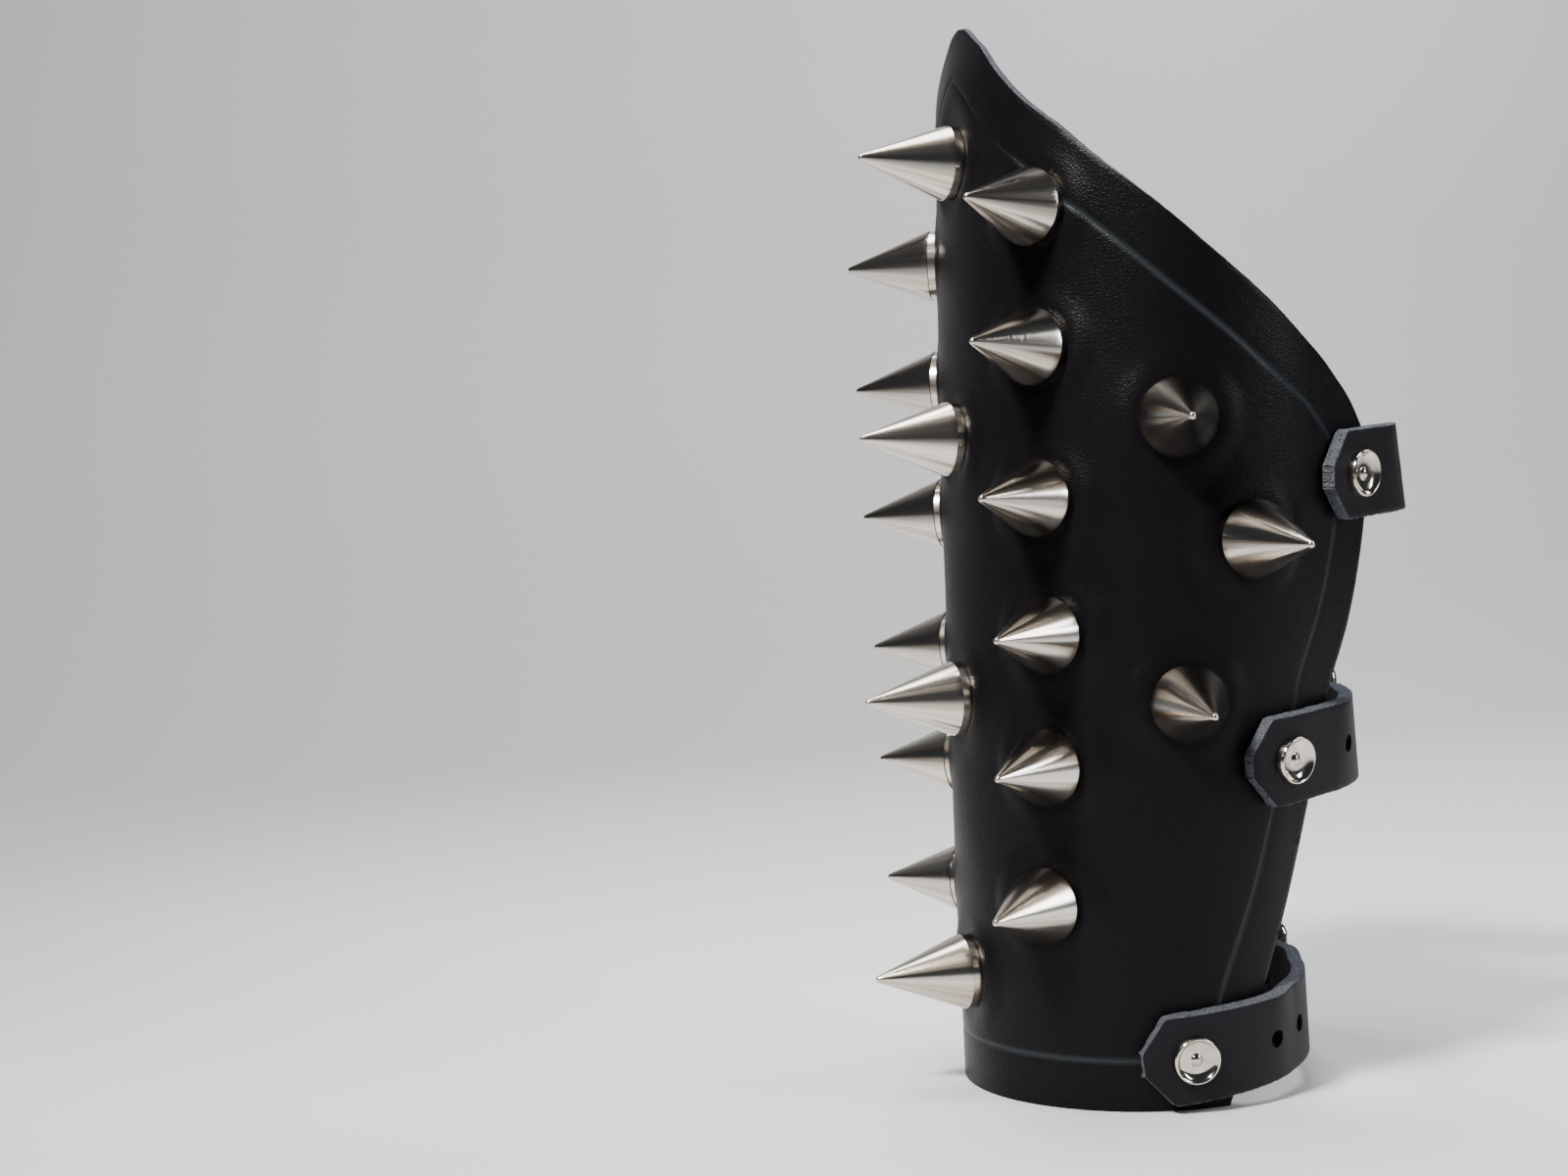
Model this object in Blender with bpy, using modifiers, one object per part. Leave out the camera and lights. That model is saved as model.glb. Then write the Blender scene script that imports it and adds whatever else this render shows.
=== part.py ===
"""Spiked leather gauntlet: an open leather forearm tube with cone spikes and three buckled straps.

Frame, in metres: +Z runs from the wrist to the elbow and the part stands on its wrist edge at z = 0.
The front centre line, with the peak at its top, faces -Y, and the gap that the straps cross faces +Y.
The origin lies in the wrist edge, at the middle of the wall's thickness on the front centre line.
"""
import math

import bmesh
import bpy
from mathutils import Matrix, Vector

# leather panel
panel_height = 0.229
panel_wall = 0.003
half_width_low = 0.0354
half_width_middle = 0.0455
half_width_top = 0.0537
half_depth_low = 0.0361
half_depth_middle = 0.0430
half_depth_top = 0.0416
centre_shift_middle = 0.0054
centre_shift_top = 0.0061
flap_start_angle = 115.0
corner_height = 0.1395
corner_angle = 139.5
tip_lean = 0.0012
tip_lean_start_share = 0.83

# cone spikes, screwed on from inside the panel
spike_length = 0.0213
spike_base_radius = 0.0080
spike_band = 0.0020
spike_tip_radius = 0.0006
post_radius = 0.0020
screw_head_radius = 0.0045
screw_head_thickness = 0.0010

# straps
strap_width = 0.0190
strap_thickness = 0.0030
strap_tilt_degrees = 6.5
arrow_length = 0.0055
arrow_flat = 0.0040
rivet_setback = 0.0103
first_hole = 0.0190
hole_spacing = 0.0120
hole_radius = 0.0019

# rivets
rivet_cap_radius = 0.0050
rivet_cap_height = 0.0016
rivet_dimple = 0.0009
rivet_dimple_share = 0.3
rivet_crest_share = 0.65
rivet_rim_share = 0.3
rivet_post_radius = 0.0016
rivet_head_radius = 0.0040
rivet_head_thickness = 0.0008

# buckles and keepers
frame_wire = 0.0015
frame_reach = 0.0165
bar_clearance = 0.0006
side_clearance = 0.0011
frame_corner = 0.0026
prong_radius = 0.0011
prong_hole_offset = 0.0046
prong_slot_length = 0.0078
prong_overhang = 0.0012
hook_start = -150.0
fold_return = 0.0098
fold_meet = 0.0068
fold_meet_shares = (0.35, 0.7, 1.0)
rise_start = 0.0020
rise_end = 0.0010
keeper_wire = 0.0010
keeper_corner = 0.0020
loose_start = 0.0020
loose_curve = 0.35

gap = 0.0003
overcut = 0.0010
heel_lift = gap - bar_clearance - frame_wire

# height of the top edge as a share of the rise from corner to peak, over the share of the corner angle
top_edge_shares = (
    (0.00, 1.000), (0.03, 0.990), (0.06, 0.962), (0.10, 0.922), (0.14, 0.866), (0.18, 0.812),
    (0.22, 0.764), (0.29, 0.694), (0.36, 0.618), (0.48, 0.500), (0.59, 0.388), (0.70, 0.288),
    (0.79, 0.208), (0.86, 0.155), (0.90, 0.119), (0.95, 0.070), (1.00, 0.000),
)
# angle of the back edge as a share of the corner angle, over the share of the corner height
back_edge_shares = (
    (0.00, 0.730), (0.05, 0.752), (0.17, 0.796), (0.30, 0.850), (0.44, 0.889), (0.60, 0.929),
    (0.70, 0.979), (0.80, 1.010), (0.90, 1.026), (0.96, 1.019), (1.00, 1.000),
)

# spike columns: angle from the front centre line in degrees, height as a share of the panel height
spike_columns = {
    "center": ((0.0, 0.109), (0.0, 0.367), (0.0, 0.612), (0.0, 0.872)),
    "right_inner": (
        (38.8, 0.185), (39.6, 0.310), (39.6, 0.429), (36.7, 0.551), (35.1, 0.686), (34.0, 0.810),
    ),
    "left_inner": (
        (-43.4, 0.179), (-41.9, 0.300), (-41.1, 0.414), (-37.7, 0.546), (-35.4, 0.674), (-30.5, 0.793),
    ),
    "right_outer": ((78.6, 0.367), (95.1, 0.510), (73.5, 0.617)),
    "left_outer": ((-78.6, 0.367), (-95.1, 0.510), (-73.5, 0.617)),
}

# prong: height over the bars, in hook radii, over the share of the way to the far bar
prong_arch = ((0.12, 1.15), (0.25, 1.62), (0.40, 2.02), (0.60, 1.80), (1.00, 1.00))

# straps: rivet's height as a share of the corner height and its angle as a share of the back edge's there,
# depth of the curve behind the gap as a share of the gap's width, hole that the prong is in, and in strap
# widths the keeper's place past the folded end, the loose end's length past the keeper and its stand off
straps = {
    "upper": {"height": 0.933, "rivet_angle": 0.934, "back_depth": 0.354, "prong_hole": 4,
              "keeper": 0.07, "loose_end": 1.26, "stand_off": 0.92},
    "middle": {"height": 0.515, "rivet_angle": 0.869, "back_depth": 0.356, "prong_hole": 4,
               "keeper": 0.28, "loose_end": 1.21, "stand_off": 0.66},
    "wrist": {"height": 0.084, "rivet_angle": 0.796, "back_depth": 0.464, "prong_hole": 5,
              "keeper": 0.30, "loose_end": 1.05, "stand_off": 0.53},
}

# fineness of the meshes
panel_columns = 15
panel_rows = 12
strap_step = 0.0060
strap_samples = 240
strap_run_in = 35.0
spike_sides = 12
rivet_sides = 10
hole_sides = 8
wire_sides = 2
hook_steps = 5
fold_steps = 7
corner_steps = 2
small_angle = 0.01
small_height = 0.0001
small_step = 0.004


def clear_scene():
    for thing in list(bpy.data.objects):
        bpy.data.objects.remove(thing, do_unlink=True)


def make_collection(name):
    group = bpy.data.collections.new(name)
    bpy.context.scene.collection.children.link(group)
    return group


def make_material(name, color, roughness, metallic):
    material = bpy.data.materials.new(name)
    material.use_nodes = True
    shader = material.node_tree.nodes["Principled BSDF"]
    shader.inputs["Base Color"].default_value = (*color, 1.0)
    shader.inputs["Roughness"].default_value = roughness
    shader.inputs["Metallic"].default_value = metallic
    material.diffuse_color = (*color, 1.0)
    return material


def smooth_table(table, x):
    """Value at x of a smooth curve through the table's points."""
    last = len(table) - 1
    if x <= table[0][0]:
        return table[0][1]
    if x >= table[last][0]:
        return table[last][1]
    row = max(i for i in range(last) if table[i][0] <= x)

    def slope(i):
        low, high = max(i - 1, 0), min(i + 1, last)
        return (table[high][1] - table[low][1]) / (table[high][0] - table[low][0])

    width = table[row + 1][0] - table[row][0]
    t = (x - table[row][0]) / width
    return ((2 * t ** 3 - 3 * t ** 2 + 1) * table[row][1] + (t ** 3 - 2 * t ** 2 + t) * width * slope(row)
            + (3 * t ** 2 - 2 * t ** 3) * table[row + 1][1] + (t ** 3 - t ** 2) * width * slope(row + 1))


def through_three(low, middle, high, share):
    """Parabola through the values at shares 0, 0.5 and 1."""
    return low + (4 * middle - 3 * low - high) * share + (2 * low + 2 * high - 4 * middle) * share ** 2


def section(z):
    """Half width, half depth and centre of the oval at a height."""
    share = z / panel_height
    return (through_three(half_width_low, half_width_middle, half_width_top, share),
            through_three(half_depth_low, half_depth_middle, half_depth_top, share),
            half_depth_low - panel_wall / 2
            + through_three(0.0, centre_shift_middle, centre_shift_top, share))


def outer_point(angle, z):
    """Point of the panel's outer face: an oval whose back flaps run on straight."""
    half_width, half_depth, centre = section(z)
    turn = math.radians(abs(angle))
    start = math.radians(flap_start_angle)
    bend, flap = min(turn, start), max(turn - start, 0.0)
    x = half_width * math.sin(bend) + half_width * math.cos(start) * flap
    y = centre - half_depth * math.cos(bend) + half_depth * math.sin(start) * flap
    lean = max(z / panel_height - tip_lean_start_share, 0.0) / (1.0 - tip_lean_start_share)
    return Vector((math.copysign(x, angle), y + tip_lean * lean ** 2, z))


def outer_normal(angle, z):
    around = outer_point(angle + small_angle, z) - outer_point(angle - small_angle, z)
    rise = outer_point(angle, z + small_height) - outer_point(angle, z - small_height)
    return around.cross(rise).normalized()


def back_angle(z):
    return corner_angle * smooth_table(back_edge_shares, z / corner_height)


def top_height(angle):
    share = smooth_table(top_edge_shares, abs(angle) / corner_angle)
    return corner_height + (panel_height - corner_height) * share


def mesh_object(name, verts, faces, group, material=None):
    mesh = bpy.data.meshes.new(name)
    mesh.from_pydata([tuple(v) for v in verts], [], faces)
    mesh.update()
    thing = bpy.data.objects.new(name, mesh)
    group.objects.link(thing)
    if material:
        mesh.materials.append(material)
    return thing


def grid_faces(rows, columns):
    return [(r * columns + c, r * columns + c + 1, (r + 1) * columns + c + 1, (r + 1) * columns + c)
            for r in range(rows - 1) for c in range(columns - 1)]


def frame_matrix(point, axis, along):
    """Placement whose local Z is the axis and whose local X lies along the given direction."""
    axis = axis.normalized()
    side = (along - axis * along.dot(axis)).normalized()
    matrix = Matrix((side, axis.cross(side), axis)).transposed().to_4x4()
    matrix.translation = point
    return matrix


def add_cylinder(bm, radius, depth, matrix):
    bmesh.ops.create_cone(bm, cap_ends=True, segments=hole_sides, radius1=radius, radius2=radius, depth=depth,
                          matrix=matrix)


def cutter_from(bm, name, group):
    mesh = bpy.data.meshes.new(name)
    bm.to_mesh(mesh)
    bm.free()
    thing = bpy.data.objects.new(name, mesh)
    group.objects.link(thing)
    thing.hide_render = True
    thing.display_type = "WIRE"
    return thing


def cut(thing, cutter):
    modifier = thing.modifiers.new("holes", "BOOLEAN")
    modifier.operation = "DIFFERENCE"
    modifier.solver = "EXACT"
    modifier.object = cutter


def turned(name, profile, sides, matrix, group, material):
    """Solid turned about its own Z axis from a profile that runs from top to bottom."""
    mesh = bpy.data.meshes.new(name)
    mesh.from_pydata([(r, 0.0, h) for r, h in profile], [(i, i + 1) for i in range(len(profile) - 1)], [])
    mesh.materials.append(material)
    thing = bpy.data.objects.new(name, mesh)
    group.objects.link(thing)
    thing.matrix_world = matrix
    screw = thing.modifiers.new("turn", "SCREW")
    screw.angle = math.tau
    screw.steps = sides
    screw.render_steps = sides
    screw.use_merge_vertices = True
    screw.merge_threshold = 0.00001
    screw.use_smooth_shade = False
    return thing


def wire_loop(name, points, radius, closed, group, material):
    """Round wire along a list of points, as a mesh."""
    curve = bpy.data.curves.new(name + "_path", "CURVE")
    curve.dimensions = "3D"
    spline = curve.splines.new("POLY")
    spline.points.add(len(points) - 1)
    for control, point in zip(spline.points, points):
        control.co = (*point, 1.0)
    spline.use_cyclic_u = closed
    curve.bevel_depth = radius
    curve.bevel_resolution = wire_sides
    curve.use_fill_caps = not closed
    path = bpy.data.objects.new(name + "_path", curve)
    bpy.context.scene.collection.objects.link(path)
    mesh = bpy.data.meshes.new_from_object(path.evaluated_get(bpy.context.evaluated_depsgraph_get()))
    bpy.data.objects.remove(path, do_unlink=True)
    bm = bmesh.new()
    bm.from_mesh(mesh)
    bmesh.ops.remove_doubles(bm, verts=bm.verts, dist=0.000001)
    bmesh.ops.recalc_face_normals(bm, faces=bm.faces)
    bm.to_mesh(mesh)
    bm.free()
    mesh.name = name
    mesh.materials.clear()
    mesh.materials.append(material)
    thing = bpy.data.objects.new(name, mesh)
    group.objects.link(thing)
    return thing


def make_panel(group, material):
    """Right half of the shield shape bent round the arm, mirrored and given its wall."""
    verts = []
    for r in range(panel_rows):
        for c in range(panel_columns):
            v = r / (panel_rows - 1)
            u = c / (panel_columns - 1)
            angle = u * back_angle(v * corner_height)
            z = v * top_height(u * corner_angle)
            verts.append(outer_point(angle, z if r else -overcut))
    panel = mesh_object("leather_panel", verts, grid_faces(panel_rows, panel_columns), group, material)
    mirror = panel.modifiers.new("other_half", "MIRROR")
    mirror.merge_threshold = 0.00001
    wall = panel.modifiers.new("wall", "SOLIDIFY")
    wall.thickness = panel_wall
    wall.offset = -1.0
    wall.use_even_offset = True
    return panel


def spike_places():
    """Name, place and outward direction of every spike."""
    places = []
    for column, rows in spike_columns.items():
        for number, (angle, share) in enumerate(rows, start=1):
            z = share * panel_height
            places.append((f"spike_{column}_{number}", outer_point(angle, z), outer_normal(angle, z)))
    return places


def make_spike(name, place, normal, group, material):
    """Cone with its band, the screw through the panel and the flat head inside, as one solid."""
    inner = -panel_wall - 3 * gap
    profile = (
        (0.0, spike_length), (spike_tip_radius, spike_length), (spike_base_radius, spike_band),
        (spike_base_radius, gap), (post_radius, gap), (post_radius, inner), (screw_head_radius, inner),
        (screw_head_radius, inner - screw_head_thickness), (0.0, inner - screw_head_thickness),
    )
    matrix = frame_matrix(place, normal, Vector((0.0, 0.0, 1.0)))
    return turned(name, profile, spike_sides, matrix, group, material)


class Strap:
    """Line of one strap: along the right flap, round the back and along the left flap.

    A place on it is given by its length from the right rivet, its offset across the width and its
    height off the line, which lies on the panel's outer face.
    """

    def __init__(self, values):
        self.tilt = math.radians(strap_tilt_degrees)
        self.height = values["height"] * corner_height
        self.leave = max(back_angle(self.height + offset * strap_width) for offset in (-0.5, 0.0, 0.5))
        rivet_angle = values["rivet_angle"] * back_angle(self.height)
        self.start = rivet_angle - strap_run_in
        self.rivet_depth = outer_point(rivet_angle, self.height).y
        self.back_depth = values["back_depth"]
        self.prong_hole = values["prong_hole"]
        self.loose_end = values["loose_end"] * strap_width
        self.stand_off = values["stand_off"] * strap_width
        self.steps = [3.0 * i / strap_samples for i in range(strap_samples + 1)]
        line = [self.place(step, 0.0) for step in self.steps]
        self.lengths = [0.0]
        for first, second in zip(line, line[1:]):
            self.lengths.append(self.lengths[-1] + (second - first).length)
        share = strap_run_in / (self.leave - self.start)
        self.origin = self.length_at(share)
        self.left_rivet = self.lengths[-1] - 2 * self.origin
        self.prong = first_hole + hole_spacing * self.prong_hole
        self.heel = self.prong + prong_hole_offset
        self.far = self.heel - frame_reach
        self.keeper = self.heel + fold_return + values["keeper"] * strap_width

    def length_at(self, step):
        place = step / 3.0 * (len(self.steps) - 1)
        low = min(int(place), len(self.steps) - 2)
        return self.lengths[low] + (place - low) * (self.lengths[low + 1] - self.lengths[low])

    def step_at(self, length):
        wanted = length + self.origin
        low = 0
        while low < len(self.lengths) - 2 and self.lengths[low + 1] < wanted:
            low += 1
        share = (wanted - self.lengths[low]) / (self.lengths[low + 1] - self.lengths[low])
        return self.steps[low] + share * (self.steps[low + 1] - self.steps[low])

    def flat_place(self, step, z):
        """Place in plan at a height: flap, curve behind the gap, flap."""
        if step <= 1.0:
            return outer_point(self.start + step * (self.leave - self.start), z)
        if step >= 2.0:
            return outer_point(-self.leave + (step - 2.0) * (self.leave - self.start), z)
        end = outer_point(self.leave, z)
        before = outer_point(self.leave - small_angle, z)
        reach = (end - before).normalized() * self.back_depth * 2 * end.x
        t = step - 1.0
        mirror = Vector((-1.0, 1.0, 1.0))
        corners = (end, end + reach, (end + reach) * mirror, end * mirror)
        weights = ((1 - t) ** 3, 3 * t * (1 - t) ** 2, 3 * t * t * (1 - t), t ** 3)
        return sum((corner * weight for corner, weight in zip(corners, weights)), Vector())

    def place(self, step, across):
        z = self.height + across
        for _ in range(4):
            point = self.flat_place(step, z)
            z = (self.height + across * math.cos(self.tilt)
                 + (point.y - self.rivet_depth) * math.tan(self.tilt))
        behind = math.sin(math.pi * min(max(step - 1.0, 0.0), 1.0)) ** 2
        point.y -= across * math.sin(self.tilt) * behind
        point.z = z
        return point

    def directions(self, length):
        """Unit directions along the strap, across it and out of it."""
        step = self.step_at(length)
        along = (self.place(step + small_step, 0.0) - self.place(step - small_step, 0.0)).normalized()
        across = self.place(step, strap_width / 4) - self.place(step, -strap_width / 4)
        across = (across - along * across.dot(along)).normalized()
        return along, across, along.cross(across)

    def point(self, length, offset=0.0, lift=0.0):
        _, across, out = self.directions(length)
        return self.place(self.step_at(length), 0.0) + across * offset + out * lift

    def matrix(self, length, lift=0.0):
        """Placement whose Z points out of the strap and whose X runs along it."""
        along, _, out = self.directions(length)
        return frame_matrix(self.point(length, 0.0, lift), out, along)


def stations(strap, first, last, extra=()):
    """Lengths from first to last, on the same even marks for both straps of a buckle, with extra ones."""
    low = math.ceil((first + 0.4 * strap_step - strap.heel) / strap_step)
    high = math.floor((last - 0.4 * strap_step - strap.heel) / strap_step)
    marks = [strap.heel + i * strap_step for i in range(low, high + 1)]
    for wanted in extra:
        marks = [mark for mark in marks if abs(mark - wanted) > 0.3 * strap_step]
        marks.append(wanted)
    return sorted([first, last] + marks)


def arrow_half(distance):
    """Half width of a strap at a distance from its pointed end."""
    share = min(max(distance / arrow_length, 0.0), 1.0)
    return 0.5 * (arrow_flat + (strap_width - arrow_flat) * share)


def ribbon(name, rows, offset, group, material):
    """Band from rows of points across it, thickened outward or to both sides."""
    verts = [point for row in rows for point in row]
    band = mesh_object(name, verts, grid_faces(len(rows), len(rows[0])), group, material)
    wall = band.modifiers.new("thickness", "SOLIDIFY")
    wall.thickness = strap_thickness
    wall.offset = offset
    wall.use_even_offset = True
    return band


def blend(value):
    value = min(max(value, 0.0), 1.0)
    return value * value * (3.0 - 2.0 * value)


def billet_lift(strap, length):
    """Height of the long strap's inner face: on the panel, then up and over the short strap."""
    rise = strap_thickness + gap
    lift = gap + rise * blend((length - strap.far - rise_start) / (frame_reach - rise_start - rise_end))
    loose = length - strap.keeper - loose_start
    if loose > 0.0:
        share = loose / strap.loose_end
        lift += strap.stand_off * ((1.0 - loose_curve) * share + loose_curve * share ** 2)
    return lift


def make_billet(name, strap, group, cutters, material):
    """Long strap with holes, riveted to the right flap and threaded through the buckle and keeper."""
    first = -rivet_setback
    last = strap.keeper + loose_start + strap.loose_end
    marks = stations(strap, first, last, (first + arrow_length, last - arrow_length, strap.far))
    rows = []
    for mark in marks:
        half = min(arrow_half(mark - first), arrow_half(last - mark))
        lift = billet_lift(strap, mark)
        rows.append([strap.point(mark, side * half, lift) for side in (1, -1)])
    band = ribbon(name, rows, 1.0, group, material)
    bm = bmesh.new()
    depth = strap_thickness * 3
    add_cylinder(bm, rivet_post_radius + gap, depth, strap.matrix(0.0, strap_thickness / 2))
    hole = 0
    while first_hole + hole * hole_spacing < last - arrow_length:
        mark = first_hole + hole * hole_spacing
        matrix = strap.matrix(mark, billet_lift(strap, mark) + strap_thickness / 2)
        if hole == strap.prong_hole:
            slot = matrix @ Matrix.Diagonal((prong_slot_length, 2 * prong_radius + 4 * gap, depth, 1.0))
            bmesh.ops.create_cube(bm, size=1.0, matrix=slot)
        else:
            add_cylinder(bm, hole_radius, depth, matrix)
        hole += 1
    cut(band, cutter_from(bm, name + "_holes", cutters))
    return band


def fold_profile(strap):
    """Middle line of the short strap, as lengths along it and heights, from its point round the heel bar."""
    middle = gap + strap_thickness / 2
    bend = frame_wire + bar_clearance + strap_thickness / 2
    end = strap.left_rivet + rivet_setback
    heel = strap.heel
    marks = stations(strap, heel, end, (end - arrow_length,))
    line = [(mark, middle) for mark in reversed(marks)]
    for i in range(1, fold_steps + 1):
        turn = math.pi * i / fold_steps
        line.append((heel - bend * math.sin(turn), middle - bend + bend * math.cos(turn)))
    low = middle - 2 * bend
    close = middle - strap_thickness - gap
    for share in fold_meet_shares:
        line.append((heel + fold_meet * share, low + (close - low) * blend(share)))
    line.append((heel + fold_return, close))
    return line


def make_buckle_strap(name, strap, group, cutters, material):
    """Short strap riveted to the left flap and folded round the heel bar of the buckle."""
    end = strap.left_rivet + rivet_setback
    rows = []
    for mark, height in fold_profile(strap):
        half = arrow_half(end - mark)
        rows.append([strap.point(mark, side * half, height) for side in (1, -1)])
    band = ribbon(name, rows, 0.0, group, material)
    bm = bmesh.new()
    matrix = strap.matrix(strap.left_rivet, gap + strap_thickness / 2)
    add_cylinder(bm, rivet_post_radius + gap, strap_thickness * 2, matrix)
    slot_length = 2 * (frame_wire + 2 * prong_radius + 3 * gap)
    slot = Matrix.Diagonal((slot_length, 2 * prong_radius + 6 * gap, 5 * strap_thickness, 1.0))
    bmesh.ops.create_cube(bm, size=1.0, matrix=strap.matrix(strap.heel - 2 * gap, heel_lift) @ slot)
    cut(band, cutter_from(bm, name + "_holes", cutters))
    return band


def buckle_axes(strap):
    """Middle of the heel bar, reach to the far bar, and the directions to it, along the bars and outward."""
    heel = strap.point(strap.heel, 0.0, heel_lift)
    far = strap.point(strap.far, 0.0, strap_thickness + 3 * gap + frame_wire)
    _, bar, _ = strap.directions(strap.heel)
    reach = far - heel
    reach -= bar * reach.dot(bar)
    side = reach.normalized()
    return heel, reach.length, side, bar, bar.cross(side)


def rounded_rectangle(centre, side, up, half_side, half_up, radius):
    """Points round a rectangle with round corners in the plane of two directions."""
    points = []
    for quarter, (a, b) in enumerate(((1, 1), (-1, 1), (-1, -1), (1, -1))):
        for i in range(corner_steps + 1):
            turn = math.pi / 2 * (quarter + i / corner_steps)
            x = a * (half_side - radius) + radius * math.cos(turn)
            y = b * (half_up - radius) + radius * math.sin(turn)
            points.append(centre + side * x + up * y)
    return points


def make_frame(name, strap, group, material):
    """Buckle frame: one ring of round wire, its heel bar in the fold and its far bar on the long strap."""
    heel, reach, side, bar, _ = buckle_axes(strap)
    half_bar = strap_width / 2 + side_clearance + frame_wire
    points = rounded_rectangle(heel + side * reach / 2, side, bar, reach / 2, half_bar, frame_corner)
    return wire_loop(name, points, frame_wire, True, group, material)


def make_prong(name, strap, group, material):
    """Prong: hooked round the heel bar, up through a strap hole and resting on the far bar."""
    heel, reach, side, _, out = buckle_axes(strap)
    bend = frame_wire + gap + prong_radius
    line = []
    for i in range(hook_steps + 1):
        turn = math.radians(hook_start + (90.0 - hook_start) * i / hook_steps)
        line.append((-bend * math.cos(turn), bend * math.sin(turn)))
    line += [(share * reach, height * bend) for share, height in prong_arch]
    line.append((reach + prong_overhang, bend))
    points = [heel + side * x + out * y for x, y in line]
    return wire_loop(name, points, prong_radius, False, group, material)


def make_keeper(name, strap, group, material):
    """Keeper: wire loop round the short strap and the end of the long one."""
    low = -keeper_wire
    high = 2 * strap_thickness + 3 * gap + keeper_wire
    _, across, out = strap.directions(strap.keeper)
    centre = strap.point(strap.keeper, 0.0, (low + high) / 2)
    half_across = strap_width / 2 + side_clearance + keeper_wire
    points = rounded_rectangle(centre, out, across, (high - low) / 2, half_across, keeper_corner)
    return wire_loop(name, points, keeper_wire, True, group, material)


def make_rivet(name, strap, length, group, material):
    """Ring-shaped cap with a dimple, its post and the flat head inside the panel, as one solid."""
    seat = strap_thickness + 2 * gap
    top = seat + rivet_cap_height
    inner = -panel_wall - 2 * gap
    radius = rivet_cap_radius
    profile = (
        (0.0, top - rivet_dimple), (rivet_dimple_share * radius, top - rivet_dimple),
        (rivet_crest_share * radius, top), (radius, seat + rivet_rim_share * rivet_cap_height),
        (radius, seat),
        (rivet_post_radius, seat), (rivet_post_radius, inner), (rivet_head_radius, inner),
        (rivet_head_radius, inner - rivet_head_thickness), (0.0, inner - rivet_head_thickness),
    )
    return turned(name, profile, rivet_sides, strap.matrix(length), group, material)


def main():
    clear_scene()
    group = make_collection("spiked_leather_gauntlet")
    cutters = make_collection("cutters")
    leather = make_material("black_leather", (0.018, 0.017, 0.018), 0.48, 0.0)
    strap_leather = make_material("black_strap_leather", (0.024, 0.023, 0.026), 0.60, 0.0)
    nickel = make_material("polished_nickel", (0.72, 0.68, 0.62), 0.18, 1.0)

    panel = make_panel(group, leather)
    holes = bmesh.new()
    for name, place, normal in spike_places():
        make_spike(name, place, normal, group, nickel)
        middle = frame_matrix(place - normal * panel_wall / 2, normal, Vector((0.0, 0.0, 1.0)))
        add_cylinder(holes, post_radius + gap, panel_wall * 3, middle)

    for key, values in straps.items():
        strap = Strap(values)
        make_billet(f"strap_{key}", strap, group, cutters, strap_leather)
        make_buckle_strap(f"buckle_strap_{key}", strap, group, cutters, strap_leather)
        make_frame(f"buckle_frame_{key}", strap, group, nickel)
        make_prong(f"buckle_prong_{key}", strap, group, nickel)
        make_keeper(f"keeper_{key}", strap, group, nickel)
        for side, length in (("right", 0.0), ("left", strap.left_rivet)):
            make_rivet(f"rivet_{key}_{side}", strap, length, group, nickel)
            through = strap.matrix(length, -panel_wall / 2)
            add_cylinder(holes, rivet_post_radius + gap, panel_wall * 3, through)

    reach = 4 * half_width_top
    floor = bmesh.new()
    bmesh.ops.create_cube(floor, size=reach, matrix=Matrix.Translation((0.0, 0.0, -reach / 2)))
    cut(panel, cutter_from(floor, "flat_foot", cutters))
    cut(panel, cutter_from(holes, "panel_holes", cutters))


main()
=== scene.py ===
import math
import bpy
import numpy as np
from mathutils import Matrix


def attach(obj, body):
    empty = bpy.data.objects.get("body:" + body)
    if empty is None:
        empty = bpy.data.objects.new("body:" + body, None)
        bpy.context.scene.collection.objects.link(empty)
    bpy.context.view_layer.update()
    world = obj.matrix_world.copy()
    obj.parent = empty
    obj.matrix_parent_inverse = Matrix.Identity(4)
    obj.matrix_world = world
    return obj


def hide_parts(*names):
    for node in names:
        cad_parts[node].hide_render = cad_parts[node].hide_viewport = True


# Spiked leather gauntlet: an open leather forearm tube with cone spikes and three buckled straps.
# +Z runs from the wrist to the elbow, the front centre line faces -Y and the open back faces +Y.

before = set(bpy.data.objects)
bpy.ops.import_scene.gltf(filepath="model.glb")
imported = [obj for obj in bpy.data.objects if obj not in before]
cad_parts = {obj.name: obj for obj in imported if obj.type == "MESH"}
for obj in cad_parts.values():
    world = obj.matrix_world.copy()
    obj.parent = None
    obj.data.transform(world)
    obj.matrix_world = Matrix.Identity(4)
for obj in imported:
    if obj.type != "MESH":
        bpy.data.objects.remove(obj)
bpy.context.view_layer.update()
random = np.random.default_rng(11)
jitterLimit = 1.2
upward = np.array((0.0, 0.0, 1.0))
print("frame loaded:", len(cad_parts), "nodes")


# shared mesh helpers

def unit(vectors):
    return vectors / np.linalg.norm(vectors, axis=-1, keepdims=True)


def smoothTable(table, x):
    # cubic through the rows of a table; the slope at a row is that between the rows beside it
    placeList, valueList = np.array(table, float).T
    slope = np.empty_like(valueList)
    slope[1:-1] = (valueList[2:] - valueList[:-2]) / (placeList[2:] - placeList[:-2])
    slope[0] = (valueList[1] - valueList[0]) / (placeList[1] - placeList[0])
    slope[-1] = (valueList[-1] - valueList[-2]) / (placeList[-1] - placeList[-2])
    x = np.clip(x, placeList[0], placeList[-1])
    row = np.clip(np.searchsorted(placeList, x, side="right") - 1, 0, len(placeList) - 2)
    width = placeList[row + 1] - placeList[row]
    t = (x - placeList[row]) / width
    return ((2 * t ** 3 - 3 * t ** 2 + 1) * valueList[row] + (t ** 3 - 2 * t ** 2 + t) * width * slope[row]
            + (3 * t ** 2 - 2 * t ** 3) * valueList[row + 1] + (t ** 3 - t ** 2) * width * slope[row + 1])


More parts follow.
